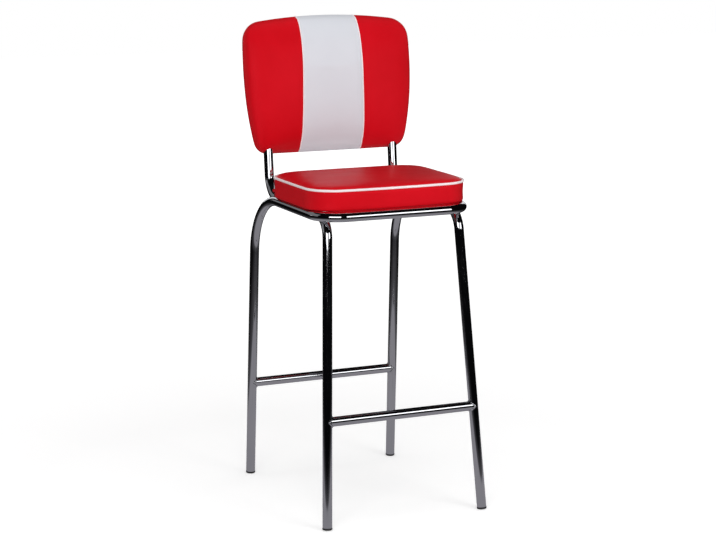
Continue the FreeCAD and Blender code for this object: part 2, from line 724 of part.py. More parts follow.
def back_board():
    """Flat plywood with tapered sides and rounded corners, on the front of the uprights."""
    label = "backrest_board"
    wide, narrow, tall = (size(alias) for alias in ("back_board_top", "back_board_bottom", "back_board_height"))
    taper = (wide - narrow) / 2
    body = doc.addObject("PartDesign::Body", label)
    outline = body_sketch(body, label + "_outline")
    polygon(outline, [(taper, 0), (taper + narrow, 0), (wide, tall), (0, tall)])
    base = pad(body, outline, size("back_board"))
    for name, side, radius in (("lower", -1, 24.0), ("upper", 1, 36.0)):
        corners = body.newObject("PartDesign::Fillet", "%s_%s_corners" % (label, name))
        test = lambda middle, s=side: (middle.y - tall.value / 2) * s > 0
        corners.Base = (base, upright_edges(base.Shape, test))
        corners.Radius = radius
        doc.recompute()
        base = corners
    low = size("back_board_low")
    for name, lift, radius in (("holes", None, SCREW_R + 1.2), ("flange_seats", size("back_board") - 1.5, 9.7)):
        holes = body_sketch(body, "%s_%s" % (label, name), lift=lift)
        for level in BACK_SCREW_LEVELS:
            for side in (-0.5, 0.5):
                circle(holes, wide / 2 + size("run_spacing") * side, -low + level, radius)
        pocket(body, holes, size("back_board"))
    corner = Placement(Vector(-wide.value / 2, -BOARD_FACE, low.value), Rotation(Vector(1, 0, 0), 90))
    body.Placement = BACK_PLACE.multiply(corner)
    keep(body, label)
    return body.Shape.transformed(BACK_PLACE.inverse().toMatrix())


def seam_slab(tall, grow):
    """The stripe between its two seams, widened by grow, as a wedge through the whole pad."""
    low, high = (mm(alias) / 2 + grow for alias in ("stripe_low", "stripe_high"))
    corners = [Vector(-low, 60, 0), Vector(low, 60, 0), Vector(high, 60, tall), Vector(-high, 60, tall)]
    return Part.Face(Part.makePolygon(corners + corners[:1])).extrude(Vector(0, -150, 0))


def backrest():
    """Board, foam, three front panels with welts in their seams, and rear cover."""
    vinyl = mm("vinyl")
    outer, inner = back_solid(0.0), back_solid(vinyl)
    board = back_board()
    end = mm("upright_length") - (BACK_MARK - mm("run_height")) / UPRIGHT_DIRECTION.z
    foam = back_solid(vinyl + mm("foam_slack")).cut(board).cut(back_channels(0.1, -20, end + 1))
    for level in BACK_SCREW_LEVELS:
        for side in (-1, 1):
            x = side * mm("run_spacing") / 2
            foam = foam.cut(rod(Vector(x, TUBE_R - 2, level), Vector(x, TUBE_R + 3.6, level), 6.1))
            foam = foam.cut(rod(Vector(x, 0, level), Vector(x, -BOARD_FACE - 14.0, level), SCREW_R + 1.0))
    shape_part("backrest_foam", largest(foam), BACK_PLACE)
    behind = Part.makeBox(600, 50, 500, Vector(-300, mm("back_rear") - 3.5, -50))
    skin = outer.cut(inner).cut(back_channels(0.3, -20, 120))
    shape_part("back_rear_cover", largest(skin.common(behind)), BACK_PLACE)
    front = skin.cut(behind)
    tall = BACK_HIGH + 8
    stripe, wide_stripe = seam_slab(tall, -mm("welt") / 2), seam_slab(tall, mm("welt") / 2)
    shape_part("back_centre_panel", largest(front.common(stripe)), BACK_PLACE)
    sides = front.cut(wide_stripe)
    welts = back_solid(-0.6).cut(inner).cut(behind).common(wide_stripe).cut(stripe)
    for name, whole in (("panel", sides), ("welt", welts)):
        left = largest(whole, lambda solid: solid.CenterOfMass.x < 0)
        shape_part("back_left_" + name, left, BACK_PLACE)
        shape_part("back_right_" + name, left.mirror(Vector(), Vector(1, 0, 0)), BACK_PLACE)


def largest(shape, wanted=lambda solid: True):
    return max((s for s in shape.Solids if wanted(s)), key=lambda s: s.Volume)


def check_and_write():
    """Stop on any failed object, then write one file per sub-part."""
    doc.recompute()
    for obj in doc.Objects:
        if any(state in ("Invalid", "Error") for state in obj.State):
            raise RuntimeError("%s failed: %s" % (obj.Label, obj.State))
    os.makedirs("parts", exist_ok=True)
    for obj in parts:
        shape = obj.Shape
        if shape.isNull() or not shape.isValid():
            raise RuntimeError("%s has no valid shape" % obj.Label)
        shape.exportStep("parts/%s.step" % obj.Label)
        print("%-24s %2d solids %9.0f mm3" % (obj.Label, len(shape.Solids), shape.Volume))


seat_loop()
inner_tube("left_leg_back_tube", False)
inner_tube("right_leg_back_tube", True)
for joint_foot, joint_leg, joint_height, tube_label, weld_label in (
        (FRONT_FOOT, FRONT_LEG, mm("footrest_height"), "front_footrest_tube", "footrest_welds"),
        (REAR_FOOT, REAR_LEG, mm("stretcher_height"), "rear_stretcher_tube", "rear_stretcher_welds")):
    stretcher(tube_label, joint_foot, joint_leg, joint_height)
    stretcher_welds(weld_label, joint_foot, joint_leg, joint_height)
side_rail_welds()
for strap_label, strap_y in strap_places():
    strap(strap_label, strap_y)
seat_strap_welds()
for end_name, end_foot, end_leg in (("front", FRONT_FOOT, FRONT_LEG), ("rear", REAR_FOOT, REAR_LEG)):
    glide(end_name + "_left_glide", end_foot, end_leg)
    glide(end_name + "_right_glide", mirrored(end_foot), mirrored(end_leg))
seat_board()
seat_soft_parts()
fasteners()
backrest()
check_and_write()
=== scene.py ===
"""Looks of the diner counter stool: chrome tube frame, red vinyl seat pad and striped backrest.

Metres, in the frame of the CAD model: +Z up, the stool faces -Y, left is -X.
"""
import math
import bpy
import numpy as np
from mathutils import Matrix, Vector, noise


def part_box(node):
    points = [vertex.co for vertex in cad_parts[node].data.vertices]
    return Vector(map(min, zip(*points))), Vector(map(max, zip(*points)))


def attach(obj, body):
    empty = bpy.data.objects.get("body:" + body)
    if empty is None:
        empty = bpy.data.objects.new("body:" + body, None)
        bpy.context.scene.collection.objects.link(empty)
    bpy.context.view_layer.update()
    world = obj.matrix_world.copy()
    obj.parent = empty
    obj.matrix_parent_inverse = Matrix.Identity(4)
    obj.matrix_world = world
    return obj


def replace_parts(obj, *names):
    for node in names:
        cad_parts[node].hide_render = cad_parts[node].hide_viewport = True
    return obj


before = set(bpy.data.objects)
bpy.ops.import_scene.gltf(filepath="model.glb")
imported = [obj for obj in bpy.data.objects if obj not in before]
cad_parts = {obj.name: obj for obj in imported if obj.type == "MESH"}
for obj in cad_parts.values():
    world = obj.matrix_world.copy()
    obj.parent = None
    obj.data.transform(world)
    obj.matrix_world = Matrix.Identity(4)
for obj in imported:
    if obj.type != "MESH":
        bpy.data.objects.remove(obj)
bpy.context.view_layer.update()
BODY = "root"

# Camera, fitted to the photograph
CAMERA_PLACE = (-1.9075, -4.2508, 1.4298)
CAMERA_YAW, CAMERA_PITCH = math.radians(24.06), math.radians(10.87)
CAMERA_LENS, SENSOR = 102.07, 36.0

# Frame tubes, the same driving sizes as the CAD model
TUBE_R, TUBE_WALL, TUBE_SIDES = 0.011, 0.0015, 48
RAIL_Z, RUN_Z = 0.6985, 0.6955
GLIDE_HEAD, GLIDE_OVERHANG = 0.0055, 0.0004
FRONT_FOOT, FRONT_KNEE = Vector((-0.1945, -0.246, 0)), Vector((-0.161, -0.173, RUN_Z))
REAR_FOOT, REAR_KNEE = Vector((-0.189, 0.246, 0)), Vector((-0.184, 0.2065, RAIL_Z))
FRONT_CORNER = Vector((-0.184, -0.198, RAIL_Z))
UPRIGHT_KNEE = Vector((-0.161, 0.1699, RUN_Z))
UPRIGHT_LENGTH = 0.345
REAR_BEND, CORNER_BEND, KNEE_BEND, UPRIGHT_BEND = 0.148, 0.062, 0.052, 0.057
FOOTREST_Z, STRETCHER_Z = 0.2418, 0.2308
RECLINE = math.radians(5.93)
UPRIGHT = Vector((0, math.sin(RECLINE), math.cos(RECLINE)))
FRONT_LEG = (FRONT_KNEE - FRONT_FOOT).normalized()
REAR_LEG = (REAR_KNEE - REAR_FOOT).normalized()

# Weld beads: round the ends of the cross tubes, under the side rails, and on the flat bars' ends
COPE_SIDES, COPE_BEAD_R, COPE_RIPPLES = 64, 0.0021, 15
RAIL_BEAD_R, RAIL_BEAD_X, RAIL_BEAD_DROP, RAIL_BEAD_LENGTH = 0.0040, 0.1725, 0.0065, 0.024
RAIL_BEAD_YS = (-0.105, -0.025, 0.040)
BAR_BEAD_R, BAR_BEAD_OUT, BAR_BEAD_DROP, BAR_BEAD_SHORT = 0.0023, 0.0002, 0.0004, 0.004
BEAD_STEPS = 36


def flipped(vector):
    """The same place on the other side of the stool."""
    return Vector((-vector.x, vector.y, vector.z))


# Mesh helpers

def new_object(name, data):
    """An object in the scene."""
    obj = bpy.data.objects.new(name, data)
    bpy.context.scene.collection.objects.link(obj)
    return obj


def new_mesh(name, verts, faces):
    """A mesh object in the scene."""
    mesh = bpy.data.meshes.new(name)
    mesh.from_pydata([tuple(v) for v in verts], [], faces)
    return new_object(name, mesh)


def piece(name, verts, faces, material, slot):
    """A smooth mesh that rides on the frame and takes the material it is given; its slot is not used."""
    obj = new_mesh(name, verts, faces)
    obj.data.validate()
    obj.data.polygons.foreach_set("use_smooth", [True] * len(obj.data.polygons))
    obj.data.materials.append(material)
    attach(obj, BODY)
    return obj


def subdivide(obj, levels):
    """Rounds a piece with a subdivision surface."""
    modifier = obj.modifiers.new("smooth", "SUBSURF")
    modifier.levels = modifier.render_levels = levels


def bent_line(points, radii, step=math.radians(3)):
    """Points along straight runs joined by tangent arcs."""
    line = [points[0]]
    for before, corner, after, radius in zip(points, points[1:], points[2:], radii):
        into, out = (corner - before).normalized(), (after - corner).normalized()
        turn = into.angle(out)
        first = corner - into * radius * math.tan(turn / 2)
        inward = (out - into * into.dot(out)).normalized()
        count = max(4, round(turn / step))
        for i in range(count + 1):
            a = turn * i / count
            line.append(first + into * radius * math.sin(a) + inward * radius * (1 - math.cos(a)))
    line.append(points[-1])
    return line


def rings_along(line, radii, sides, closed=False):
    """A ring of points round each point of the line, turned as little as possible between them."""
    count = len(line)
    tangents = []
    for i in range(count):
        before = line[i - 1] if i or closed else line[0]
        after = line[(i + 1) % count] if i < count - 1 or closed else line[-1]
        tangents.append((after - before).normalized())
    side = tangents[0].orthogonal().normalized()
    rings = []
    for point, tangent, radius in zip(line, tangents, radii):
        side = (side - tangent * side.dot(tangent)).normalized()
        other = tangent.cross(side)
        rings.append([point + (side * math.cos(a) + other * math.sin(a)) * radius
                      for a in (2 * math.pi * k / sides for k in range(sides))])
    return rings


def skin_rings(rings, closed=False, caps=False):
    """Vertices and faces of a skin over a row of rings."""
    sides = len(rings[0])
    verts = [v for ring in rings for v in ring]
    faces = []
    last = len(rings) if closed else len(rings) - 1
    for i in range(last):
        a, b = i * sides, (i + 1) % len(rings) * sides
        faces += [(a + k, a + (k + 1) % sides, b + (k + 1) % sides, b + k) for k in range(sides)]
    if caps:
        faces.append(tuple(range(sides))[::-1])
        faces.append(tuple((len(rings) - 1) * sides + k for k in range(sides)))
    return verts, faces


def joined(skins):
    """Several skins as the vertices and faces of one mesh."""
    all_verts, all_faces = [], []
    for verts, faces in skins:
        shift = len(all_verts)
        all_verts += verts
        all_faces += [tuple(i + shift for i in face) for face in faces]
    return all_verts, all_faces


# Materials

def new_material(name, **values):
    """A material with a Principled shader whose plain values are set on its own sockets."""
    material = bpy.data.materials.new(name)
    material.use_nodes = True
    shader = material.node_tree.nodes["Principled BSDF"]
    for socket, value in values.items():
        shader.inputs[socket.replace("_", " ")].default_value = value
    return material, material.node_tree, shader


def texture(tree, kind, output, scale, stretch=(1, 1, 1), **values):
    """A procedural texture's value in the object's own metres. scale is features per metre."""
    place = tree.nodes.new("ShaderNodeTexCoord")
    mapping = tree.nodes.new("ShaderNodeMapping")
    mapping.inputs["Scale"].default_value = stretch
    node = tree.nodes.new(kind)
    node.inputs["Scale"].default_value = scale
    for socket, value in values.items():
        node.inputs[socket].default_value = value
    tree.links.new(place.outputs["Object"], mapping.inputs["Vector"])
    tree.links.new(mapping.outputs["Vector"], node.inputs["Vector"])
    return node.outputs[output]


def clouds(tree, scale, **values):
    """Soft noise."""
    return texture(tree, "ShaderNodeTexNoise", "Fac", scale, **values)


def cells(tree, scale, **values):
    """Small round cells."""
    return texture(tree, "ShaderNodeTexVoronoi", "Distance", scale, **values)


def drive(shader, socket, source, *values, stops=(0.35, 0.65)):
    """Drives a shader's socket by a value, mapped onto colours or greys at the stops."""
    tree = shader.id_data
    node = tree.nodes.new("ShaderNodeValToRGB")
    elements = node.color_ramp.elements
    while len(elements) < len(stops):
        elements.new(0.5)
    for element, place, value in zip(elements, stops, values):
        element.position = place
        element.color = (*value, 1) if isinstance(value, tuple) else (value, value, value, 1)
    tree.links.new(source, node.inputs["Fac"])
    tree.links.new(node.outputs["Color"], shader.inputs[socket])


def bump(shader, *layers):
    """Stacks heights, each a (socket, strength, depth in metres), into the shader's normal."""
    tree, normal = shader.id_data, None
    for height, strength, depth in layers:
        node = tree.nodes.new("ShaderNodeBump")
        node.inputs["Strength"].default_value = strength
        node.inputs["Distance"].default_value = depth
        tree.links.new(height, node.inputs["Height"])
        if normal is not None:
            tree.links.new(normal, node.inputs["Normal"])
        normal = node.outputs["Normal"]
    tree.links.new(normal, shader.inputs["Normal"])


def chrome(name, roughness=(0.03, 0.09)):
    """Bright plate over drawn tube: faint polishing waves, smudges and a few fine scratches."""
    material, tree, shader = new_material(name, Metallic=1.0)
    smudge = clouds(tree, 14, Detail=5.0, Roughness=0.6)
    drive(shader, "Roughness", smudge, *roughness)
    tone = clouds(tree, 5, Detail=2.0)
    drive(shader, "Base Color", tone, (0.63, 0.64, 0.66), (0.7, 0.705, 0.72))
    waves = clouds(tree, 55, Detail=1.0)
    scratches = clouds(tree, 900, stretch=(1, 1, 0.03), Detail=2.0)
    bump(shader, (waves, 0.03, 0.0004), (scratches, 0.012, 0.00005))
    return material


def vinyl(name, colour, deep, tint=(1, 1, 1), roughness=(0.40, 0.47)):
    """Upholstery vinyl: fine pebbled grain, slight mottling and a soft sheen."""
    material, tree, shader = new_material(name, Specular_IOR_Level=0.32, Specular_Tint=(*tint, 1))
    cloud = clouds(tree, 9, Detail=3.0)
    drive(shader, "Base Color", cloud, deep, colour, stops=(0.3, 0.7))
    wear = clouds(tree, 24, Detail=4.0)
    drive(shader, "Roughness", wear, *roughness, stops=(0.25, 0.75))
    grain = cells(tree, 1100)
    pores = clouds(tree, 500, Detail=3.0)
    soft = clouds(tree, 16, Detail=1.0)
    bump(shader, (soft, 0.12, 0.002), (pores, 0.08, 0.0002), (grain, 0.08, 0.0002))
    return material


def black_plastic(name):
    """Moulded polyethylene with a satin skin, scuffed near the floor."""
    material, tree, shader = new_material(name, Specular_IOR_Level=0.4)
    scuff = clouds(tree, 260, Detail=5.0, Roughness=0.7)
    drive(shader, "Base Color", scuff, (0.012, 0.012, 0.013), (0.035, 0.034, 0.035))
    drive(shader, "Roughness", scuff, 0.38, 0.6)
    skin = clouds(tree, 1500, Detail=2.0)
    bump(shader, (skin, 0.2, 0.0001))
    return material


def zinc(name):
    """Bright zinc plate on small hardware."""
    material, tree, shader = new_material(name, Metallic=1.0)
    crystal = cells(tree, 700)
    drive(shader, "Base Color", crystal, (0.5, 0.51, 0.53), (0.66, 0.66, 0.66))
    drive(shader, "Roughness", crystal, 0.22, 0.38)
    bump(shader, (crystal, 0.1, 0.0001))
    return material


def plywood(name):
    """Birch plywood: long grain on the faces."""
    material, tree, shader = new_material(name, Roughness=0.62)
    grain = clouds(tree, 60, stretch=(0.08, 1.4, 1.4), Detail=6.0, Distortion=0.6)
    drive(shader, "Base Color", grain, (0.36, 0.22, 0.11), (0.56, 0.39, 0.22))
    fibre = clouds(tree, 700, stretch=(0.05, 1, 1), Detail=3.0)
    bump(shader, (fibre, 0.2, 0.0003))
    return material


def cloth(name):
    """Black non-woven cloth with its pressed dots."""
    material, tree, shader = new_material(name, Roughness=0.9, Sheen_Weight=0.25, Sheen_Roughness=0.5)
    fibre = clouds(tree, 900, Detail=6.0, Roughness=0.7)
    drive(shader, "Base Color", fibre, (0.012, 0.012, 0.013), (0.04, 0.04, 0.042))
    dots = cells(tree, 420, Randomness=0.15)
    bump(shader, (dots, 0.5, 0.0004), (fibre, 0.3, 0.0002))
    return material


CHROME = chrome("chrome_plate")
BEAD_CHROME = chrome("chrome_on_weld", (0.1, 0.22))
RED = vinyl("red_vinyl", (0.64, 0.004, 0.011), (0.58, 0.003, 0.008), (1.0, 0.16, 0.22))
WHITE = vinyl("white_vinyl", (0.70, 0.715, 0.765), (0.675, 0.69, 0.74))
CORD = vinyl("piping_vinyl", (0.92, 0.83, 0.84), (0.88, 0.77, 0.79))
SEAM_CORD = vinyl("seam_cord_vinyl", (0.97, 0.90, 0.92), (0.95, 0.87, 0.89))
PLASTIC = black_plastic("glide_plastic")
ZINC = zinc("bright_zinc")
PLYWOOD = plywood("birch_plywood")
CLOTH = cloth("dust_cloth")


# Frame

def tube(name, points, radii, node):
    """A bent chrome tube that stands for its CAD node. The plugs and the backrest hide its ends."""
    line = bent_line(points, radii)
    verts, faces = skin_rings(rings_along(line, [TUBE_R] * len(line), TUBE_SIDES))
    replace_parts(piece(name, verts, faces, CHROME, "chrome_tube"), node)


def frame_tubes():
    """The seat loop and the two leg and back tubes."""
    end = REAR_FOOT + REAR_LEG * GLIDE_HEAD
    half = [end, REAR_KNEE, FRONT_CORNER]
    loop = half + [flipped(p) for p in reversed(half)]
    tube("seat_loop", loop, [REAR_BEND, CORNER_BEND, CORNER_BEND, REAR_BEND], "seat_frame_tube")
    inner = [FRONT_FOOT + FRONT_LEG * GLIDE_HEAD, FRONT_KNEE, UPRIGHT_KNEE,
             UPRIGHT_KNEE + UPRIGHT * UPRIGHT_LENGTH]
    tube("left_leg_and_upright", inner, [KNEE_BEND, UPRIGHT_BEND], "left_leg_back_tube")
    tube("right_leg_and_upright", [flipped(p) for p in inner], [KNEE_BEND, UPRIGHT_BEND],
         "right_leg_back_tube")


def cope_reach(offset, leg):
    """How far short of a leg's axis a cross tube stops, for a point this far off its own axis."""
    across = Vector((1, 0, 0))
    flat = across - leg * across.dot(leg)
    off = offset - leg * offset.dot(leg)
    a, b, c = flat.dot(flat), 2 * flat.dot(off), off.dot(off) - TUBE_R ** 2
    return (-b + math.sqrt(max(b * b - 4 * a * c, 0.0))) / (2 * a)


def cross_tube(name, foot, leg, height, node, weld_name, weld_node):
    """A tube between two legs, coped to them, and the weld bead round each end."""
    joint = foot + leg * (height / leg.z)
    rings = []
    for side in (-1, 1):
        centre = joint if side < 0 else flipped(joint)
        ring = []
        for k in range(COPE_SIDES):
            angle = 2 * math.pi * k / COPE_SIDES
            offset = Vector((0, math.cos(angle), math.sin(angle))) * TUBE_R
            reach = cope_reach(offset, leg)
            ring.append(Vector((centre.x - side * reach, centre.y + offset.y, centre.z + offset.z)))
        rings.append(ring)
    verts, faces = skin_rings(rings)
    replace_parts(piece(name, verts, faces, CHROME, "chrome_tube"), node)
    beads = [cope_bead(ring, number, height) for number, ring in enumerate(rings)]
    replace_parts(piece(weld_name, *joined(beads), BEAD_CHROME, "chrome_tube"), weld_node)


def cope_bead(ring, number, height):
    """A weld bead round a coped end, rippled and a little uneven."""
    radii = [COPE_BEAD_R * (1 + 0.16 * math.sin(k * 2 * math.pi * COPE_RIPPLES / COPE_SIDES)
                            + 0.12 * noise.noise(Vector((k * 0.35, number * 7.0, height * 40))))
             for k in range(COPE_SIDES)]
    return skin_rings(rings_along(ring, radii, 12, closed=True), closed=True)


def short_beads(name, runs, radius, node):
    """Straight weld beads with ripples and rounded ends."""
    beads = []
    for number, (start, end) in enumerate(runs):
        line = [start.lerp(end, i / BEAD_STEPS) for i in range(BEAD_STEPS + 1)]
        radii = []
        for i in range(BEAD_STEPS + 1):
            t = i / BEAD_STEPS * 2 - 1
            round_end = math.sqrt(max(1 - abs(t) ** 5, 0.02))
            radii.append(radius * round_end * (1 + 0.1 * math.sin(i * 2.1 + number)))
        beads.append(skin_rings(rings_along(line, radii, 16), caps=True))
    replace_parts(piece(name, *joined(beads), BEAD_CHROME, "chrome_tube"), node)


def weld_beads():
    """Beads between the side rails and the inner tubes, and across the ends of the flat bars."""
    rail_runs, bar_runs = [], []
    for side in (-1, 1):
        for y in RAIL_BEAD_YS:
            low = Vector((side * RAIL_BEAD_X, y - RAIL_BEAD_LENGTH / 2, RUN_Z - RAIL_BEAD_DROP))
            rail_runs.append((low, low + Vector((0, RAIL_BEAD_LENGTH, 0))))
        for name in ("front_seat_strap", "rear_seat_strap"):
            low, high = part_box(name)
            x = low.x - BAR_BEAD_OUT if side < 0 else high.x + BAR_BEAD_OUT
            bar_runs.append((Vector((x, low.y + BAR_BEAD_SHORT, low.z - BAR_BEAD_DROP)),
                             Vector((x, high.y - BAR_BEAD_SHORT, low.z - BAR_BEAD_DROP))))
    short_beads("beads_under_side_rails", rail_runs, RAIL_BEAD_R, "side_rail_welds")
    short_beads("beads_on_flat_bars", bar_runs, BAR_BEAD_R, "seat_strap_welds")


def glide(name, foot, leg, node):
    """A plug glide turned about its leg, with a moulded rim and a sole worn flat on the floor."""
    rim = TUBE_R + GLIDE_OVERHANG
    profile = [(0.0002, 0.0), (0.0060, 0.0001), (0.0085, 0.0004), (rim - 0.0010, 0.0010),
               (rim - 0.0003, 0.0016), (rim, 0.0024), (rim, 0.0046), (rim - 0.0002, 0.0052),
               (rim - 0.0007, GLIDE_HEAD), (TUBE_R - TUBE_WALL, GLIDE_HEAD)]
    side = leg.orthogonal().normalized()
    other = leg.cross(side)
    rings = []
    for radius, height in profile:
        ring = []
        for k in range(TUBE_SIDES):
            a = 2 * math.pi * k / TUBE_SIDES
            point = foot + leg * height + (side * math.cos(a) + other * math.sin(a)) * radius
            ring.append(Vector((point.x, point.y, max(point.z, 0.0))))
        rings.append(ring)
    verts, faces = skin_rings(rings, caps=True)
    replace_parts(piece(name, verts, faces, PLASTIC, "glide_black"), node)


# Soft parts

PRESSURE, CLOTH_FRAMES, SPREAD_ROUNDS = 4.0, 20, 12


def monotone(xs, ys, x):
    """Smooth interpolation that never swings past its data."""
    xs, ys, x = np.asarray(xs, float), np.asarray(ys, float), np.asarray(x, float)
    step, slope = np.diff(xs), np.diff(ys) / np.diff(xs)
    bend = np.zeros(len(xs))
    bend[0], bend[-1] = slope[0], slope[-1]
    same = slope[:-1] * slope[1:] > 0
    w1, w2 = 2 * step[1:] + step[:-1], step[1:] + 2 * step[:-1]
    with np.errstate(divide="ignore", invalid="ignore"):
        bend[1:-1] = np.where(same, (w1 + w2) / (w1 / slope[:-1] + w2 / slope[1:]), 0.0)
    i = np.clip(np.searchsorted(xs, x) - 1, 0, len(xs) - 2)
    t = np.clip((x - xs[i]) / step[i], 0, 1)
    return (ys[i] * (1 + 2 * t) * (1 - t) ** 2 + step[i] * bend[i] * t * (1 - t) ** 2
            + ys[i + 1] * t * t * (3 - 2 * t) + step[i] * bend[i + 1] * t * t * (t - 1))


def coons(left, right, bottom, top, fractions=None):
    """Points inside four edges. left and right run upwards, bottom and top run rightwards.

    The columns lie at these fractions of the way across, or else evenly.
    """
    if fractions is None:
        fractions = np.linspace(0, 1, len(bottom))
    v = np.linspace(0, 1, len(left))[:, None, None]
    u = np.asarray(fractions)[None, :, None]
    ruled = (1 - u) * left[:, None] + u * right[:, None] + (1 - v) * bottom[None] + v * top[None]
    corners = ((1 - u) * (1 - v) * left[0] + u * (1 - v) * right[0] + (1 - u) * v * left[-1]
               + u * v * right[-1])
    return ruled - corners


def resample(curve, fractions):
    """Points at these fractions of a polyline's length."""
    length = np.concatenate([[0], np.cumsum(np.linalg.norm(np.diff(curve, axis=0), axis=1))])
    return np.stack([np.interp(np.asarray(fractions) * length[-1], length, curve[:, k])
                     for k in range(curve.shape[1])], axis=1)


def grid_faces(index):
    """Quads of a grid of vertex numbers, rows upwards and columns rightwards."""
    return [(index[r, c], index[r, c + 1], index[r + 1, c + 1], index[r + 1, c])
            for r in range(index.shape[0] - 1) for c in range(index.shape[1] - 1)]


def band_faces(outer, inner):
    """Quads between two closed rings of vertex numbers."""
    n = len(outer)
    return [(inner[k], inner[(k + 1) % n], outer[(k + 1) % n], outer[k]) for k in range(n)]


def grid_in_loop(loop, wide, deep):
    """A grid of points inside a closed loop whose four sides have wide and deep steps."""
    ring = np.concatenate([loop, loop[:1]])
    bottom = ring[:wide + 1]
    right = ring[wide:wide + deep + 1]
    top = ring[wide + deep:2 * wide + deep + 1][::-1]
    left = ring[2 * wide + deep:][::-1]
    return coons(left, right, bottom, top).reshape(-1, 2)


def loop_of_grid(index, wide, deep):
    """The outer vertex numbers of a grid, in the order of its loop."""
    return np.concatenate([index[0, :wide], index[:deep, wide], index[deep, wide:0:-1], index[deep:0:-1, 0]])


def closed_form(front, loops, rear, wide, deep):
    """Joins the points of a front grid, the loops behind it and a rear grid.

    Gives the vertices, the grids' vertex numbers, and the rings from the front's edge to the rear's.
    """
    parts = [front, *loops, rear]
    starts = np.cumsum([0, *map(len, parts)])
    numbers = [np.arange(start, end) for start, end in zip(starts, starts[1:])]
    grids = [numbers[k].reshape(deep + 1, wide + 1) for k in (0, -1)]
    edges = [loop_of_grid(grid, wide, deep) for grid in grids]
    return np.concatenate(parts), *grids, [edges[0], *numbers[1:-1], edges[1]]


def set_cloth(obj, shrink):
    """Vinyl over foam, filled from inside, with the vertices of the group held."""
    modifier = obj.modifiers.new("cloth", "CLOTH")
    modifier.collision_settings.use_collision = False
    settings = modifier.settings
    settings.vertex_group_mass = "held"
    settings.quality = 6
    settings.mass = 0.25
    settings.tension_stiffness = settings.compression_stiffness = 20
    settings.shear_stiffness = 8
    settings.bending_stiffness = 1.5
    settings.use_pressure = True
    settings.uniform_pressure_force = PRESSURE
    settings.shrink_min = shrink
    settings.effector_weights.gravity = 0


def spread(step, faces, held):
    """Evens the moves out over neighbouring vertices, so that no lump is left."""
    pairs = np.array([(a, b) for face in faces for a, b in zip(face, face[1:] + face[:1])])
    count = np.bincount(pairs.ravel(), minlength=len(step))[:, None]
    for _ in range(SPREAD_ROUNDS):
        total = np.zeros_like(step)
        np.add.at(total, pairs[:, 0], step[pairs[:, 1]])
        np.add.at(total, pairs[:, 1], step[pairs[:, 0]])
        step = total / count
        step[held] = 0
    return step


def inflate(verts, faces, held, cap, shrink):
    """Lets Blender's cloth fill the closed form from inside. held points stay, cap limits the rest."""
    obj, scene = new_mesh("inflating", verts, faces), bpy.context.scene
    group = obj.vertex_groups.new(name="held")
    group.add([int(i) for i in held], 1.0, "REPLACE")
    set_cloth(obj, shrink)
    for number in range(1, CLOTH_FRAMES + 1):
        scene.frame_set(number)
    shaped = obj.evaluated_get(bpy.context.evaluated_depsgraph_get())
    step = np.array([v.co for v in shaped.data.vertices]) - verts
    scene.frame_set(1)
    bpy.data.objects.remove(obj)
    step = spread(step, faces, held)
    size = np.linalg.norm(step, axis=1, keepdims=True)
    return verts + step * np.tanh(size / cap) * cap / np.maximum(size, 1e-9)


def part_of(name, verts, faces, material, slot):
    """A piece from some of the faces of a larger form."""
    used = sorted({i for face in faces for i in face})
    number = {old: new for new, old in enumerate(used)}
    return piece(name, verts[used], [tuple(number[i] for i in face) for face in faces], material, slot)


def tagged(faces, tags, tag):
    """The faces that carry this tag."""
    return [face for face, mark in zip(faces, tags) if mark == tag]


def padded_pieces(verts, faces, tags, table):
    """Cuts a filled form into its sewn pieces, each a cushion's side."""
    for tag, (name, material, slot, nodes) in table.items():
        obj = part_of(name, verts, tagged(faces, tags, tag), material, slot)
        subdivide(obj, 2)
        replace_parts(obj, *nodes)


# Seat pad

PAD_BOTTOM = RAIL_Z + TUBE_R + 0.0001
PAD_TALL, PAD_HALF = 0.0435, 0.195
PAD_EDGE = PAD_BOTTOM + PAD_TALL
PAD_FRONT, PAD_BACK = -0.189, 0.108
FRONT_ROUND, REAR_ROUND = 0.070, 0.062
FRONT_SWELL, SIDE_SWELL, REAR_SWELL = math.radians(4.0), math.radians(0.8), math.radians(2.0)
CORD_R, CORD_INSET = 0.0028, 0.0010
CORD_LOOP_STEPS = (88, 68, 24)

# The top panel: inset, lift, the roll next to the piping and the crown; the boxing's (share, inset)
TOP_INSET, TOP_LIFT, UNDER_INSET = 0.0034, 0.0016, 0.0220
ROLL_RISE, ROLL_REACH, CROWN_RISE = 0.0070, 0.0046, 0.0052
PAD_SIDES = [(1.0, 0.0010), (0.95, 0.0004), (0.86, 0.0003), (0.72, 0.0008), (0.56, 0.0013), (0.4, 0.0012),
             (0.26, 0.0007), (0.15, 0.0003), (0.08, 0.0005), (0.03, 0.0014), (0.0, 0.0040)]

# The folded hem behind the front rail: inset, drop, radius and how it thins round the corners
HEM_INSET, HEM_DROP, HEM_R, HEM_THINS = 0.0072, 0.0016, 0.0020, 0.0011
HEM_BACK, HEM_CORNER_Y, HEM_CORNER = -0.150, -0.182, 0.028


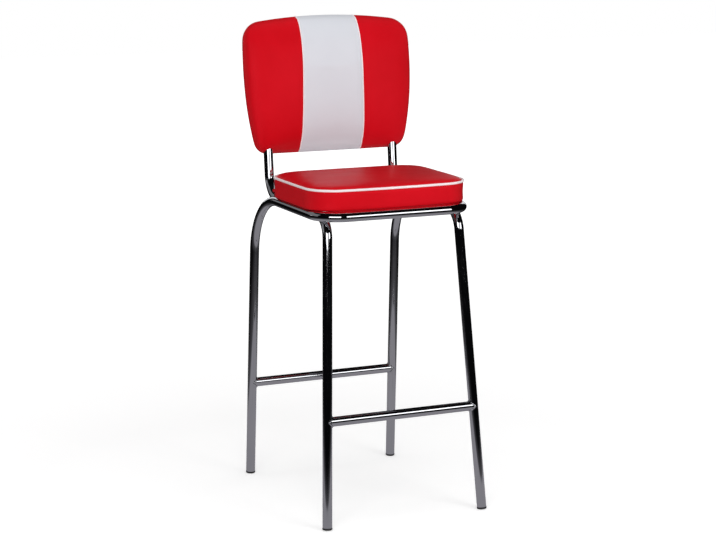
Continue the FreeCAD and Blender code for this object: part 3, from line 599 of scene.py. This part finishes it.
def pad_loop(inset, along_x=44, along_y=34, corner=12):
    """The pad's outline drawn in by inset: closed points that start at the front left corner's middle."""
    front_r, rear_r = max(FRONT_ROUND - inset, 0.006), max(REAR_ROUND - inset, 0.006)
    half, front, back = PAD_HALF - inset, PAD_FRONT + inset, PAD_BACK - inset
    corners = [(front_r - half, front + front_r, front_r, 180, SIDE_SWELL, FRONT_SWELL),
               (half - front_r, front + front_r, front_r, 270, FRONT_SWELL, SIDE_SWELL),
               (half - rear_r, back - rear_r, rear_r, 0, SIDE_SWELL, REAR_SWELL),
               (rear_r - half, back - rear_r, rear_r, 90, REAR_SWELL, SIDE_SWELL)]
    swells = (FRONT_SWELL, SIDE_SWELL, REAR_SWELL, SIDE_SWELL)
    arcs = []
    for x, y, r, start, before, after in corners:
        angles = np.linspace(math.radians(start) + before, math.radians(start + 90) - after, corner + 1)
        arcs.append(np.stack([x + r * np.cos(angles), y + r * np.sin(angles)], axis=1))
    points = []
    for i in range(4):
        here, after = arcs[i], arcs[(i + 1) % 4]
        points += list(here[corner // 2:])
        begin, end = here[-1], after[0]
        chord = end - begin
        outward = np.array([chord[1], -chord[0]])
        count = along_x if i % 2 == 0 else along_y
        for k in range(1, count):
            t = k / count
            points.append(begin + chord * t + outward * 2 * t * (1 - t) * math.tan(swells[i] / 2))
        points += list(after[:corner // 2])
    return np.array(points), along_x + corner, along_y + corner


def pad_height(flat):
    """Height of the crowned top over points of the plan."""
    gaps = np.linalg.norm(flat[:, None] - pad_loop(0.0)[0][None], axis=2)
    distance = np.maximum(gaps.min(axis=1) - TOP_INSET, 0)
    middle, reach = (PAD_FRONT + PAD_BACK) / 2, (PAD_BACK - PAD_FRONT) / 2
    across, along = flat[:, 0] / PAD_HALF, (flat[:, 1] - middle) / reach
    crown = np.clip(1 - across ** 2, 0, 1) * np.clip(1 - along ** 2, 0, 1)
    return PAD_EDGE + TOP_LIFT + ROLL_RISE * (1 - np.exp(-distance / ROLL_REACH)) + CROWN_RISE * crown


def at_height(points, height):
    """Points of the plan at a height, or each at its own."""
    return np.column_stack([points, np.broadcast_to(height, len(points))])


def seat_pad():
    """Top panel, boxing, underside and dust cloth, filled out as one cushion."""
    loop, wide, deep = pad_loop(TOP_INSET)
    flat = grid_in_loop(loop, wide, deep)
    under = grid_in_loop(pad_loop(UNDER_INSET)[0], wide, deep)
    sides = [at_height(pad_loop(inset)[0], PAD_BOTTOM + PAD_TALL * share) for share, inset in PAD_SIDES]
    verts, top_index, under_index, rings = closed_form(
        at_height(flat, pad_height(flat)), sides, at_height(under, PAD_BOTTOM), wide, deep)
    faces = grid_faces(top_index)
    tags = ["top"] * len(faces)
    for upper, lower in zip(rings, rings[1:]):
        faces += band_faces(upper, lower)
        tags += ["side"] * len(upper)
    faces += [quad[::-1] for quad in grid_faces(under_index)]
    tags += ["under"] * (wide * deep)
    held = np.unique(np.concatenate([*rings[:3], *rings[-5:], under_index.ravel()]))
    verts = inflate(verts, faces, held, cap=0.004, shrink=-0.008)
    padded_pieces(verts, faces, tags, {
        "top": ("seat_top_panel", RED, "red_vinyl", ("seat_top_cover", "seat_foam")),
        "side": ("seat_side_band", RED, "red_vinyl", ("seat_boxing",))})
    obj = part_of("seat_under_cloth", verts, tagged(faces, tags, "under"), CLOTH, "dust_cloth")
    subdivide(obj, 1)
    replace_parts(obj, "seat_dust_cover")


def piping():
    """The pale cord round the top edge, one closed loop, very slightly uneven."""
    loop = pad_loop(CORD_INSET, *CORD_LOOP_STEPS)[0]
    height = PAD_EDGE + CORD_R + 0.0001
    line = [Vector((x, y, height + 0.00015 * noise.noise(Vector((x * 60, y * 60, 3))))) for x, y in loop]
    radii = [CORD_R * (1 + 0.04 * noise.noise(Vector((x * 90, y * 90, 0)))) for x, y in loop]
    verts, faces = skin_rings(rings_along(line, radii, 20, closed=True), closed=True)
    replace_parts(piece("seat_cord", verts, faces, CORD, "piping_vinyl"), "seat_piping")


def hem_roll():
    """The boxing's folded hem, which fills the slit between the pad and the front rail."""
    loop = sorted((x, y) for x, y in pad_loop(HEM_INSET, *CORD_LOOP_STEPS)[0] if y < HEM_BACK)
    line = [Vector((x, y, PAD_BOTTOM - HEM_DROP)) for x, y in loop]
    radii = [HEM_R - HEM_THINS * min(1.0, max(0.0, (y - HEM_CORNER_Y) / HEM_CORNER)) for x, y in loop]
    verts, faces = skin_rings(rings_along(line, radii, 12), caps=True)
    piece("seat_hem_roll", verts, faces, RED, "red_vinyl")


# Backrest, in millimetres: across, ahead of the uprights' axes, and up along them

BACK_MARK = 780.0
BACK_MIDDLE_Y = UPRIGHT_KNEE.y * 1000 + math.tan(RECLINE) * (BACK_MARK - RUN_Z * 1000)
BACK_LOW, BACK_HIGH = 12.7, 338.0
# The right half of the outline, from the top's middle round to the bottom's
BACK_OUTLINE = [(0, 338.0), (172.6, 326.8), (201.1, 312.1), (213.6, 282.6), (215.0, 222), (213.0, 160),
                (206.9, 99.0), (196.0, 38.7), (184.4, 20.0), (163.7, 12.7), (0, 12.3)]
# Each contour from the rear forwards: how far ahead it lies, its insets at the sides, the top and the
# bottom, how far its lower edge bows up, and its roundness
BACK_CONTOURS = np.array([
    (-17.0, 24.0, 15.0, 11.0, 0.0, 0.0),
    (-15.6, 15.0, 7.0, 4.6, 0.0, 0.0),
    (-12.0, 8.0, 2.2, 2.2, 0.0, 0.0),
    (-7.0, 2.5, 0.2, 2.7, 3.4, 0.0),
    (0.0, 0.8, 2.8, 3.6, 10.2, 0.0),
    (5.8, 0.0, 5.8, 9.6, 16.0, 0.0),
    (11.5, 0.3, 12.0, 15.0, 20.6, 0.02),
    (16.8, 4.4, 19.8, 26.0, 21.6, 0.05),
    (21.6, 10.5, 30.0, 44.0, 18.0, 0.1),
    (25.9, 20.0, 41.0, 70.0, 13.0, 0.17),
    (29.8, 36.0, 54.0, 104.0, 7.0, 0.26),
    (32.9, 62.0, 72.0, 145.0, 0.0, 0.4),
    (35.2, 100.0, 93.0, 175.0, 0.0, 0.6),
    (36.5, 150.0, 110.0, 193.0, 0.0, 0.8),
])
REAR_DEPTH, PEAK = BACK_CONTOURS[0, 0], BACK_CONTOURS[-1, 0]
TOP_CORNER, LOW_CORNER, BOW_HALF = BACK_OUTLINE[2], BACK_OUTLINE[8], BACK_OUTLINE[9][0]
RIM_AHEAD, RIM_TOP_BACK, RIM_LOW_BACK, FRONT_CROWN = 5.0, 11.0, 15.0, 1.2
STRIPE_LOW, STRIPE_HIGH = 79.1, 73.8
WELT_R, WELT_STEPS = 0.0015, 140
# How deep the seams sink, in metres, by columns from the seam
SEAM_SINKS = ((0, 0.0013), (-1, 0.0009), (1, 0.0009), (-2, 0.0003), (2, 0.0003))
# Fractions across a red panel from its seam, across the stripe, and up the front
SIDE_STEPS = np.array([0, 0.012, 0.03, 0.06, *np.linspace(0.1, 1, 18)])
MIDDLE_STEPS = np.array([0, 0.01, 0.026, 0.05, *np.linspace(0.09, 0.91, 19), 0.95, 0.974, 0.99, 1])
ROW_STEPS = np.linspace(0, 1, 45)
# The columns of the two seams, and the numbers of columns and rows
SEAMS = (len(SIDE_STEPS) - 1, len(SIDE_STEPS) + len(MIDDLE_STEPS) - 2)
WIDE, DEEP = SEAMS[1] + len(SIDE_STEPS) - 1, len(ROW_STEPS) - 1
# Rings of the edge between the rim, 0, and the flat rear, 1. The front panels reach round three bands.
EDGE_SHARES, FRONT_BANDS = (0.2, 0.42, 0.64, 0.84), 3


def arc_points(a, b, c, count):
    """Points along the arc from a through b to c."""
    (ax, ay), (bx, by), (cx, cy) = a, b, c
    d = 2 * (ax * (by - cy) + bx * (cy - ay) + cx * (ay - by))
    a2, b2, c2 = ax * ax + ay * ay, bx * bx + by * by, cx * cx + cy * cy
    ux = (a2 * (by - cy) + b2 * (cy - ay) + c2 * (ay - by)) / d
    uy = (a2 * (cx - bx) + b2 * (ax - cx) + c2 * (bx - ax)) / d
    radius = math.hypot(ax - ux, ay - uy)
    first, last = math.atan2(ay - uy, ax - ux), math.atan2(cy - uy, cx - ux)
    turn = (last - first + math.pi) % (2 * math.pi) - math.pi
    angles = first + np.linspace(0, turn, count)
    return np.stack([ux + radius * np.cos(angles), uy + radius * np.sin(angles)], axis=1)


def mirrored(points):
    """Points of the outline on its other side, in reverse, as the way round meets them."""
    return [(-x, y) for x, y in reversed(points)]


def outline_radius():
    """The outline as a radius for each direction, in units of its half width and half height."""
    half = max(x for x, _ in BACK_OUTLINE)
    middle, reach = (BACK_HIGH + BACK_LOW) / 2, (BACK_HIGH - BACK_LOW) / 2
    top, low = BACK_OUTLINE[:2], BACK_OUTLINE[9:]
    right = [BACK_OUTLINE[i:i + 3] for i in range(1, 9, 2)]
    arcs = [mirrored(top)[:1] + top, *right, low + mirrored(low)[1:], *map(mirrored, reversed(right))]
    points = np.concatenate([arc_points(*arc, 60)[:-1] for arc in arcs])
    a, b = points[:, 0] / half, (points[:, 1] - middle) / reach
    angle, radius = np.arctan2(b, a), np.hypot(a, b)
    order = np.argsort(angle)
    angle, radius = angle[order], radius[order]
    keep = np.concatenate([[True], np.diff(angle) > 1e-6])
    return half, middle, reach, angle[keep], radius[keep]


OUT_HALF, OUT_MIDDLE, OUT_REACH, OUT_ANGLE, OUT_RADIUS = outline_radius()


def outline_at(angle):
    """The outline's radius in a direction."""
    return np.interp(angle, OUT_ANGLE, OUT_RADIUS, period=2 * math.pi)


def contour_box(ahead):
    """Half width, middle level, half height, lower bow and roundness of the contour this far ahead."""
    side, top, bottom, bow, roundness = (monotone(BACK_CONTOURS[:, 0], BACK_CONTOURS[:, k], ahead)
                                         for k in range(1, 6))
    low, high = BACK_LOW + bottom, BACK_HIGH - top
    return OUT_HALF - side, (low + high) / 2, (high - low) / 2, bow, roundness


def bowed(across, half, bow):
    """How far a contour's lower edge is raised at this distance from the middle."""
    return bow * np.clip(1 - (across / (half * BOW_HALF / OUT_HALF)) ** 2, 0, 1)


def contour_point(ahead, angle):
    """The contour's point in a direction: across, up."""
    half, middle, reach, bow, roundness = contour_box(ahead)
    radius = outline_at(angle) * (1 - roundness) + roundness
    across = half * radius * np.cos(angle)
    raised = bowed(across, half, bow) * (np.sin(angle) < 0)
    return np.stack([across, middle + reach * radius * np.sin(angle) + raised], axis=-1)


def rim_ahead(angle):
    """How far ahead the backrest is widest: further back at its top and bottom than at its sides."""
    upright = np.sin(angle) ** 2
    turn = upright * upright * (3 - 2 * upright)
    return RIM_AHEAD - turn * np.where(np.sin(angle) > 0, RIM_TOP_BACK, RIM_LOW_BACK)


def front_ahead(points):
    """Height of the crowned front over points given as across, up."""
    peak = high = np.full(len(points), PEAK)

    def fullness(ahead):
        half, middle, reach, bow, roundness = contour_box(ahead)
        below = np.clip(1.6 * (middle - points[:, 1]) / reach, 0, 1)
        up = points[:, 1] - bowed(points[:, 0], half, bow) * below
        a, b = points[:, 0] / half, (up - middle) / reach
        return np.hypot(a, b) / (outline_at(np.arctan2(b, a)) * (1 - roundness) + roundness)

    low = rim_ahead(np.arctan2((points[:, 1] - OUT_MIDDLE) / OUT_REACH, points[:, 0] / OUT_HALF))
    for _ in range(40):  # halves the span round the contour that passes through each point
        middle = (low + high) / 2
        inside = fullness(middle) < 1
        low, high = np.where(inside, middle, low), np.where(inside, high, middle)
    return low + FRONT_CROWN * np.clip(1 - fullness(peak) ** 2, 0, 1)


def back_world(points, ahead):
    """From the backrest's own millimetres, points across and up, to the model's metres."""
    across, up = points.T
    cos, sin = math.cos(RECLINE), math.sin(RECLINE)
    y = BACK_MIDDLE_Y - ahead * cos + up * sin
    z = BACK_MARK + ahead * sin + up * cos
    return np.stack([across, y, z], axis=-1) / 1000


def rim_angles(spans):
    """Directions of the rim's points. spans are (from angle, to angle, fractions) in turn."""
    angles = []
    for start, end, fractions in spans:
        fine = np.linspace(start, end, 400)
        curve = contour_point(rim_ahead(fine), fine)
        length = np.concatenate([[0], np.cumsum(np.linalg.norm(np.diff(curve, axis=0), axis=1))])
        angles.append(np.interp(np.asarray(fractions) * length[-1], length, fine))
    return np.concatenate([angles[0], *(part[1:] for part in angles[1:])])


def rim_angle_at(x, lower):
    """The direction in which the rim passes x, on its lower or upper edge."""
    fine = np.linspace(-math.pi + 0.4, -0.4, 2000) if lower else np.linspace(math.pi - 0.4, 0.4, 2000)
    curve = contour_point(rim_ahead(fine), fine)
    return float(np.interp(x, curve[:, 0], fine))


def seam_x(up):
    """How far a seam lies from the middle at a level."""
    share = (up - BACK_LOW) / (BACK_HIGH - BACK_LOW)
    return STRIPE_LOW + (STRIPE_HIGH - STRIPE_LOW) * share


def direction(point):
    """The direction of a point of the outline, in units of its half width and half height."""
    return math.atan2((point[1] - OUT_MIDDLE) / OUT_REACH, point[0] / OUT_HALF)


def rim_loop():
    """Directions of the rim's points: along the bottom, up the right side, back along the top, and down."""
    top_corner, low_corner = direction(TOP_CORNER), direction(LOW_CORNER)
    seam_top, seam_low = rim_angle_at(STRIPE_HIGH, False), rim_angle_at(STRIPE_LOW, True)
    to_seam = 1 - SIDE_STEPS[::-1]
    bottom = rim_angles([(-math.pi - low_corner, -math.pi - seam_low, to_seam),
                         (-math.pi - seam_low, seam_low, MIDDLE_STEPS),
                         (seam_low, low_corner, SIDE_STEPS)])
    right = rim_angles([(low_corner, top_corner, ROW_STEPS)])
    top = rim_angles([(math.pi - top_corner, math.pi - seam_top, to_seam),
                      (math.pi - seam_top, seam_top, MIDDLE_STEPS),
                      (seam_top, top_corner, SIDE_STEPS)])
    return np.concatenate([bottom[:-1], right[:-1], top[:0:-1], (math.pi - right)[:0:-1]])


def back_grid(loop, ahead, follow_stripe):
    """Points, across and up, inside the contour that passes through the rim's directions.

    They lie in three panels, whose columns at the seams are straight or follow the stripe's edges.
    """
    edge = contour_point(ahead, loop)
    ring = np.concatenate([edge, edge[:1]])
    low, high = ring[:WIDE + 1], ring[WIDE + DEEP:2 * WIDE + DEEP + 1][::-1]
    lines = [ring[2 * WIDE + DEEP:][::-1]]
    for column in SEAMS:
        across, up = (low[column, k] + (high[column, k] - low[column, k]) * ROW_STEPS for k in (0, 1))
        if follow_stripe:
            across = np.sign(across) * seam_x(up)
        lines.append(np.stack([across, up], axis=1))
    lines.append(ring[WIDE:WIDE + DEEP + 1])
    edges, steps = [0, *SEAMS, WIDE], (1 - SIDE_STEPS[::-1], MIDDLE_STEPS, SIDE_STEPS)
    panels = []
    for k in range(3):
        part = slice(edges[k], edges[k + 1] + 1)
        panel = coons(lines[k], lines[k + 1], low[part], high[part], steps[k])
        panels.append(panel[:, 1:] if k else panel)
    return np.concatenate(panels, axis=1).reshape(-1, 2)


def back_faces(front, rings, rear):
    """Faces over the front grid, the rings of the edge and the rear grid, and each one's panel."""
    row = ["left" if c < SEAMS[0] else "centre" if c < SEAMS[1] else "right" for c in range(WIDE)]
    edge = row + ["right"] * DEEP + row[::-1] + ["left"] * DEEP
    faces, tags = grid_faces(front), row * DEEP
    for number, (outer, inner) in enumerate(zip(rings, rings[1:])):
        faces += band_faces(outer, inner)
        tags += edge if number < FRONT_BANDS else ["rear"] * len(edge)
    faces += [quad[::-1] for quad in grid_faces(rear)]
    return faces, tags + ["rear"] * (WIDE * DEEP)


def backrest():
    """The crowned pad of the backrest, filled out in one piece, then cut at its seams."""
    loop = rim_loop()
    rim = rim_ahead(loop)
    front, rear = back_grid(loop, rim, True), back_grid(loop, np.full(len(loop), REAR_DEPTH), False)
    ahead = front_ahead(front)
    ahead[loop_of_grid(np.arange(len(front)).reshape(DEEP + 1, WIDE + 1), WIDE, DEEP)] = rim
    edges = []
    for share in EDGE_SHARES:
        depth = rim + (REAR_DEPTH - rim) * share
        edges.append(back_world(contour_point(depth, loop), depth))
    verts, index, rear_index, rings = closed_form(
        back_world(front, ahead), edges, back_world(rear, REAR_DEPTH), WIDE, DEEP)
    faces, tags = back_faces(index, rings, rear_index)
    held = np.unique(np.concatenate([*rings, rear_index.ravel(), index[:, list(SEAMS)].ravel()]))
    verts = inflate(verts, faces, held, cap=0.0025, shrink=-0.006)
    seam_lines = [verts[index[:, column]].copy() for column in SEAMS]
    sink_seams(verts, index)
    padded_pieces(verts, faces, tags, {
        "left": ("back_red_panel_left", RED, "red_vinyl", ("back_left_panel",)),
        "centre": ("back_white_stripe", WHITE, "white_vinyl", ("back_centre_panel",)),
        "right": ("back_red_panel_right", RED, "red_vinyl", ("back_right_panel",)),
        "rear": ("back_rear_skin", RED, "red_vinyl", ("back_rear_cover", "backrest_foam"))})
    for side, line, column in zip(("left", "right"), seam_lines, SEAMS):
        over_top = [verts[ring[2 * WIDE + DEEP - column]] for ring in rings[1:4]]
        welt(f"back_{side}_seam_cord", np.concatenate([line, over_top]), f"back_{side}_welt")


def sink_seams(verts, index):
    """Draws the sewn seams in by a little, so that the panels swell on both sides of them."""
    forward = np.array([0, -math.cos(RECLINE), math.sin(RECLINE)])
    for column in SEAMS:
        for offset, depth in SEAM_SINKS:
            verts[index[1:-1, column + offset]] -= forward * depth


def welt(name, line, node):
    """The thin white cord sewn into a seam, from the lower edge over the top."""
    points = [Vector(p) for p in resample(line, np.linspace(0, 1, WELT_STEPS))]
    radii = [WELT_R * (1 + 0.06 * noise.noise(Vector((0, p.z * 150, p.x * 20)))) for p in points]
    verts, faces = skin_rings(rings_along(points, radii, 12), caps=True)
    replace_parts(piece(name, verts, faces, SEAM_CORD, "piping_vinyl"), node)


# CAD nodes that keep their own shape

NODE_MATERIALS = {PLYWOOD: ("seat_board", "backrest_board"),
                  CHROME: ("front_seat_strap", "rear_seat_strap"),
                  ZINC: ("seat_washers", "seat_screws", "seat_tee_nuts", "backrest_screws",
                         "backrest_tee_nuts")}


def dress_nodes():
    """Gives the boards, flat bars and fasteners their materials."""
    for material, names in NODE_MATERIALS.items():
        for name in names:
            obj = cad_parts[name]
            obj.data.materials.clear()
            obj.data.materials.append(material)


# Studio

CARD_SIDES = 64
SET_RADIUS, SET_HEIGHT = 3.4, 6.0
WINDOW_LOW, WINDOW_HIGH, WINDOW_COLOUR = 0.8, 1.8, (2.3, 2.3, 2.35)
WORLD_LIGHT = 0.40


def look_at_photo():
    """The camera where the photograph was taken."""
    data = bpy.data.cameras.new("camera")
    data.lens, data.sensor_width = CAMERA_LENS, SENSOR
    data.clip_end = 50
    camera = new_object("camera", data)
    camera.location = CAMERA_PLACE
    camera.rotation_euler = (math.pi / 2 - CAMERA_PITCH, 0, -CAMERA_YAW)
    bpy.context.scene.camera = camera
    bpy.context.scene.view_settings.view_transform = "Standard"


def stage_mesh(name, verts, faces, colour, camera=False):
    """A card of the studio. Unless it is for the camera, it glows and only reflections see it."""
    base, glow = (colour, 0.0) if camera else ((0, 0, 0), 1.0)
    material, tree, shader = new_material(name, Base_Color=(*base, 1), Roughness=1.0, Specular_IOR_Level=0.0,
                                          Emission_Color=(*colour, 1), Emission_Strength=glow)
    obj = new_mesh(name, verts, faces)
    obj.data.materials.append(material)
    if not camera:
        obj.visible_camera = obj.visible_diffuse = obj.visible_shadow = False
        obj.visible_transmission = False
    return tree, shader


def distance_out(tree):
    """How far a point lies from the stool's middle."""
    place = tree.nodes.new("ShaderNodeTexCoord")
    reach = tree.nodes.new("ShaderNodeVectorMath")
    reach.operation = "LENGTH"
    tree.links.new(place.outputs["Object"], reach.inputs[0])
    return reach.outputs["Value"]


def calculated(tree, operation, first, second, clamp=False):
    """A value worked out from a socket and a number or another socket."""
    node = tree.nodes.new("ShaderNodeMath")
    node.operation, node.use_clamp = operation, clamp
    tree.links.new(first, node.inputs[0])
    if isinstance(second, float):
        node.inputs[1].default_value = second
    else:
        tree.links.new(second, node.inputs[1])
    return node.outputs[0]


def map_range(tree, source, **values):
    """A value mapped linearly from one span to another."""
    node = tree.nodes.new("ShaderNodeMapRange")
    for socket, value in values.items():
        node.inputs[socket.replace("_", " ")].default_value = value
    tree.links.new(source, node.inputs["Value"])
    return node.outputs["Result"]


def circle(radius, height):
    """Points round the stool's middle."""
    return [(radius * math.cos(a), radius * math.sin(a), height)
            for a in (2 * math.pi * k / CARD_SIDES for k in range(CARD_SIDES))]


def floor_card():
    """The floor that the chrome mirrors: grey near the stool, fading to black further out."""
    height = 0.0004
    faces = [(0, 1 + k, 1 + (k + 1) % CARD_SIDES) for k in range(CARD_SIDES)]
    tree, shader = stage_mesh("floor_card", [(0, 0, height), *circle(SET_RADIUS, height)], faces,
                              (0.30, 0.29, 0.315))
    far = calculated(tree, "DIVIDE", distance_out(tree), SET_RADIUS)
    drive(shader, "Emission Strength", far, 1.0, 0.95, 0.22, 0.12, 0.02, 0.006,
          stops=(0.0, 0.25, 0.32, 0.45, 0.6, 1.0))


def wall_card(name, radius, low, high, colour, start=0.0, end=360.0):
    """A curved wall for the reflections. Azimuth 0 is in front of the stool, positive to the right."""
    verts = []
    for k in range(CARD_SIDES + 1):
        a = math.radians(start + (end - start) * k / CARD_SIDES - 90)
        x, y = radius * math.cos(a), radius * math.sin(a)
        verts += [(x, y, low), (x, y, high)]
    faces = [(2 * k, 2 * k + 2, 2 * k + 3, 2 * k + 1) for k in range(CARD_SIDES)]
    stage_mesh(name, verts, faces, colour)


def softbox(name, azimuth, distance, height, width, tall, power, tilt=0.0):
    """A rectangular lamp that faces the stool; the window cards stand in for it in reflections."""
    data = bpy.data.lights.new(name, "AREA")
    data.shape, data.size, data.size_y, data.energy = "RECTANGLE", width, tall, power
    lamp = new_object(name, data)
    angle = math.radians(azimuth)
    lamp.location = (distance * math.sin(angle), -distance * math.cos(angle), height)
    aim = Vector((0, 0, height - tilt)) - lamp.location
    lamp.rotation_euler = aim.to_track_quat("-Z", "Y").to_euler()
    lamp.visible_camera = lamp.visible_glossy = False


def white_world():
    """White for the camera, for reflections and through glass, and dimmer as a light."""
    world = bpy.data.worlds.new("studio")
    bpy.context.scene.world = world
    world.use_nodes = True
    tree = world.node_tree
    rays = tree.nodes.new("ShaderNodeLightPath").outputs
    seen = calculated(tree, "ADD", rays["Is Camera Ray"], rays["Is Glossy Ray"], clamp=True)
    seen = calculated(tree, "ADD", seen, rays["Is Transmission Ray"], clamp=True)
    background = tree.nodes["Background"].inputs
    background["Color"].default_value = (1, 1, 1, 1)
    tree.links.new(map_range(tree, seen, To_Min=WORLD_LIGHT, To_Max=1.0), background["Strength"])


def white_floor():
    """The floor that the camera sees. It takes the stool's shadow and whitens with the distance."""
    half = 12.0
    corners = [(-half, -half, 0), (half, -half, 0), (half, half, 0), (-half, half, 0)]
    tree, shader = stage_mesh("floor", corners, [(0, 1, 2, 3)], (0.8, 0.8, 0.8), camera=True)
    fade = map_range(tree, distance_out(tree), From_Min=0.8, From_Max=4.5, To_Min=0.46, To_Max=0.95)
    camera_ray = tree.nodes.new("ShaderNodeLightPath").outputs["Is Camera Ray"]
    shader.inputs["Emission Color"].default_value = (1, 1, 1, 1)
    tree.links.new(calculated(tree, "MULTIPLY", camera_ray, fade), shader.inputs["Emission Strength"])


def studio():
    """White floor and background, cards that the chrome mirrors, softboxes in front and above."""
    white_world()
    white_floor()
    floor_card()
    wall_card("black_wall", SET_RADIUS, 0.0, SET_HEIGHT, (0.0025, 0.0025, 0.003))
    wall_card("grey_side_card", 3.0, 0.95, 3.4, (0.20, 0.197, 0.205), -160, -92)
    wall_card("left_window_card", 2.6, WINDOW_LOW, WINDOW_HIGH, WINDOW_COLOUR, -50, -11)
    wall_card("right_window_card", 2.6, WINDOW_LOW, WINDOW_HIGH, WINDOW_COLOUR, 9, 37)
    for number, start, end in ((1, 128, 148), (2, 174, 190), (3, 232, 244)):
        wall_card(f"back_card_{number}", 3.2, 0.75, 2.1, (0.85, 0.86, 0.88), start, end)
    stage_mesh("dark_ceiling", circle(SET_RADIUS, SET_HEIGHT), [tuple(range(CARD_SIDES))],
               (0.006, 0.006, 0.006))
    softbox("left_window", -33, 2.6, 1.24, 1.6, 0.88, 25)
    softbox("right_window", 24, 2.6, 1.24, 1.2, 0.88, 19)
    softbox("overhead_box", 0, 0.3, 3.6, 2.4, 2.4, 25, tilt=3.6)


frame_tubes()
cross_tube("front_footrest", FRONT_FOOT, FRONT_LEG, FOOTREST_Z, "front_footrest_tube",
           "footrest_beads", "footrest_welds")
cross_tube("rear_stretcher", REAR_FOOT, REAR_LEG, STRETCHER_Z, "rear_stretcher_tube",
           "rear_stretcher_beads", "rear_stretcher_welds")
weld_beads()
for end, foot, leg in (("front", FRONT_FOOT, FRONT_LEG), ("rear", REAR_FOOT, REAR_LEG)):
    glide(f"{end}_left_plug", foot, leg, f"{end}_left_glide")
    glide(f"{end}_right_plug", flipped(foot), flipped(leg), f"{end}_right_glide")
seat_pad()
piping()
hem_roll()
backrest()
dress_nodes()
look_at_photo()
studio()
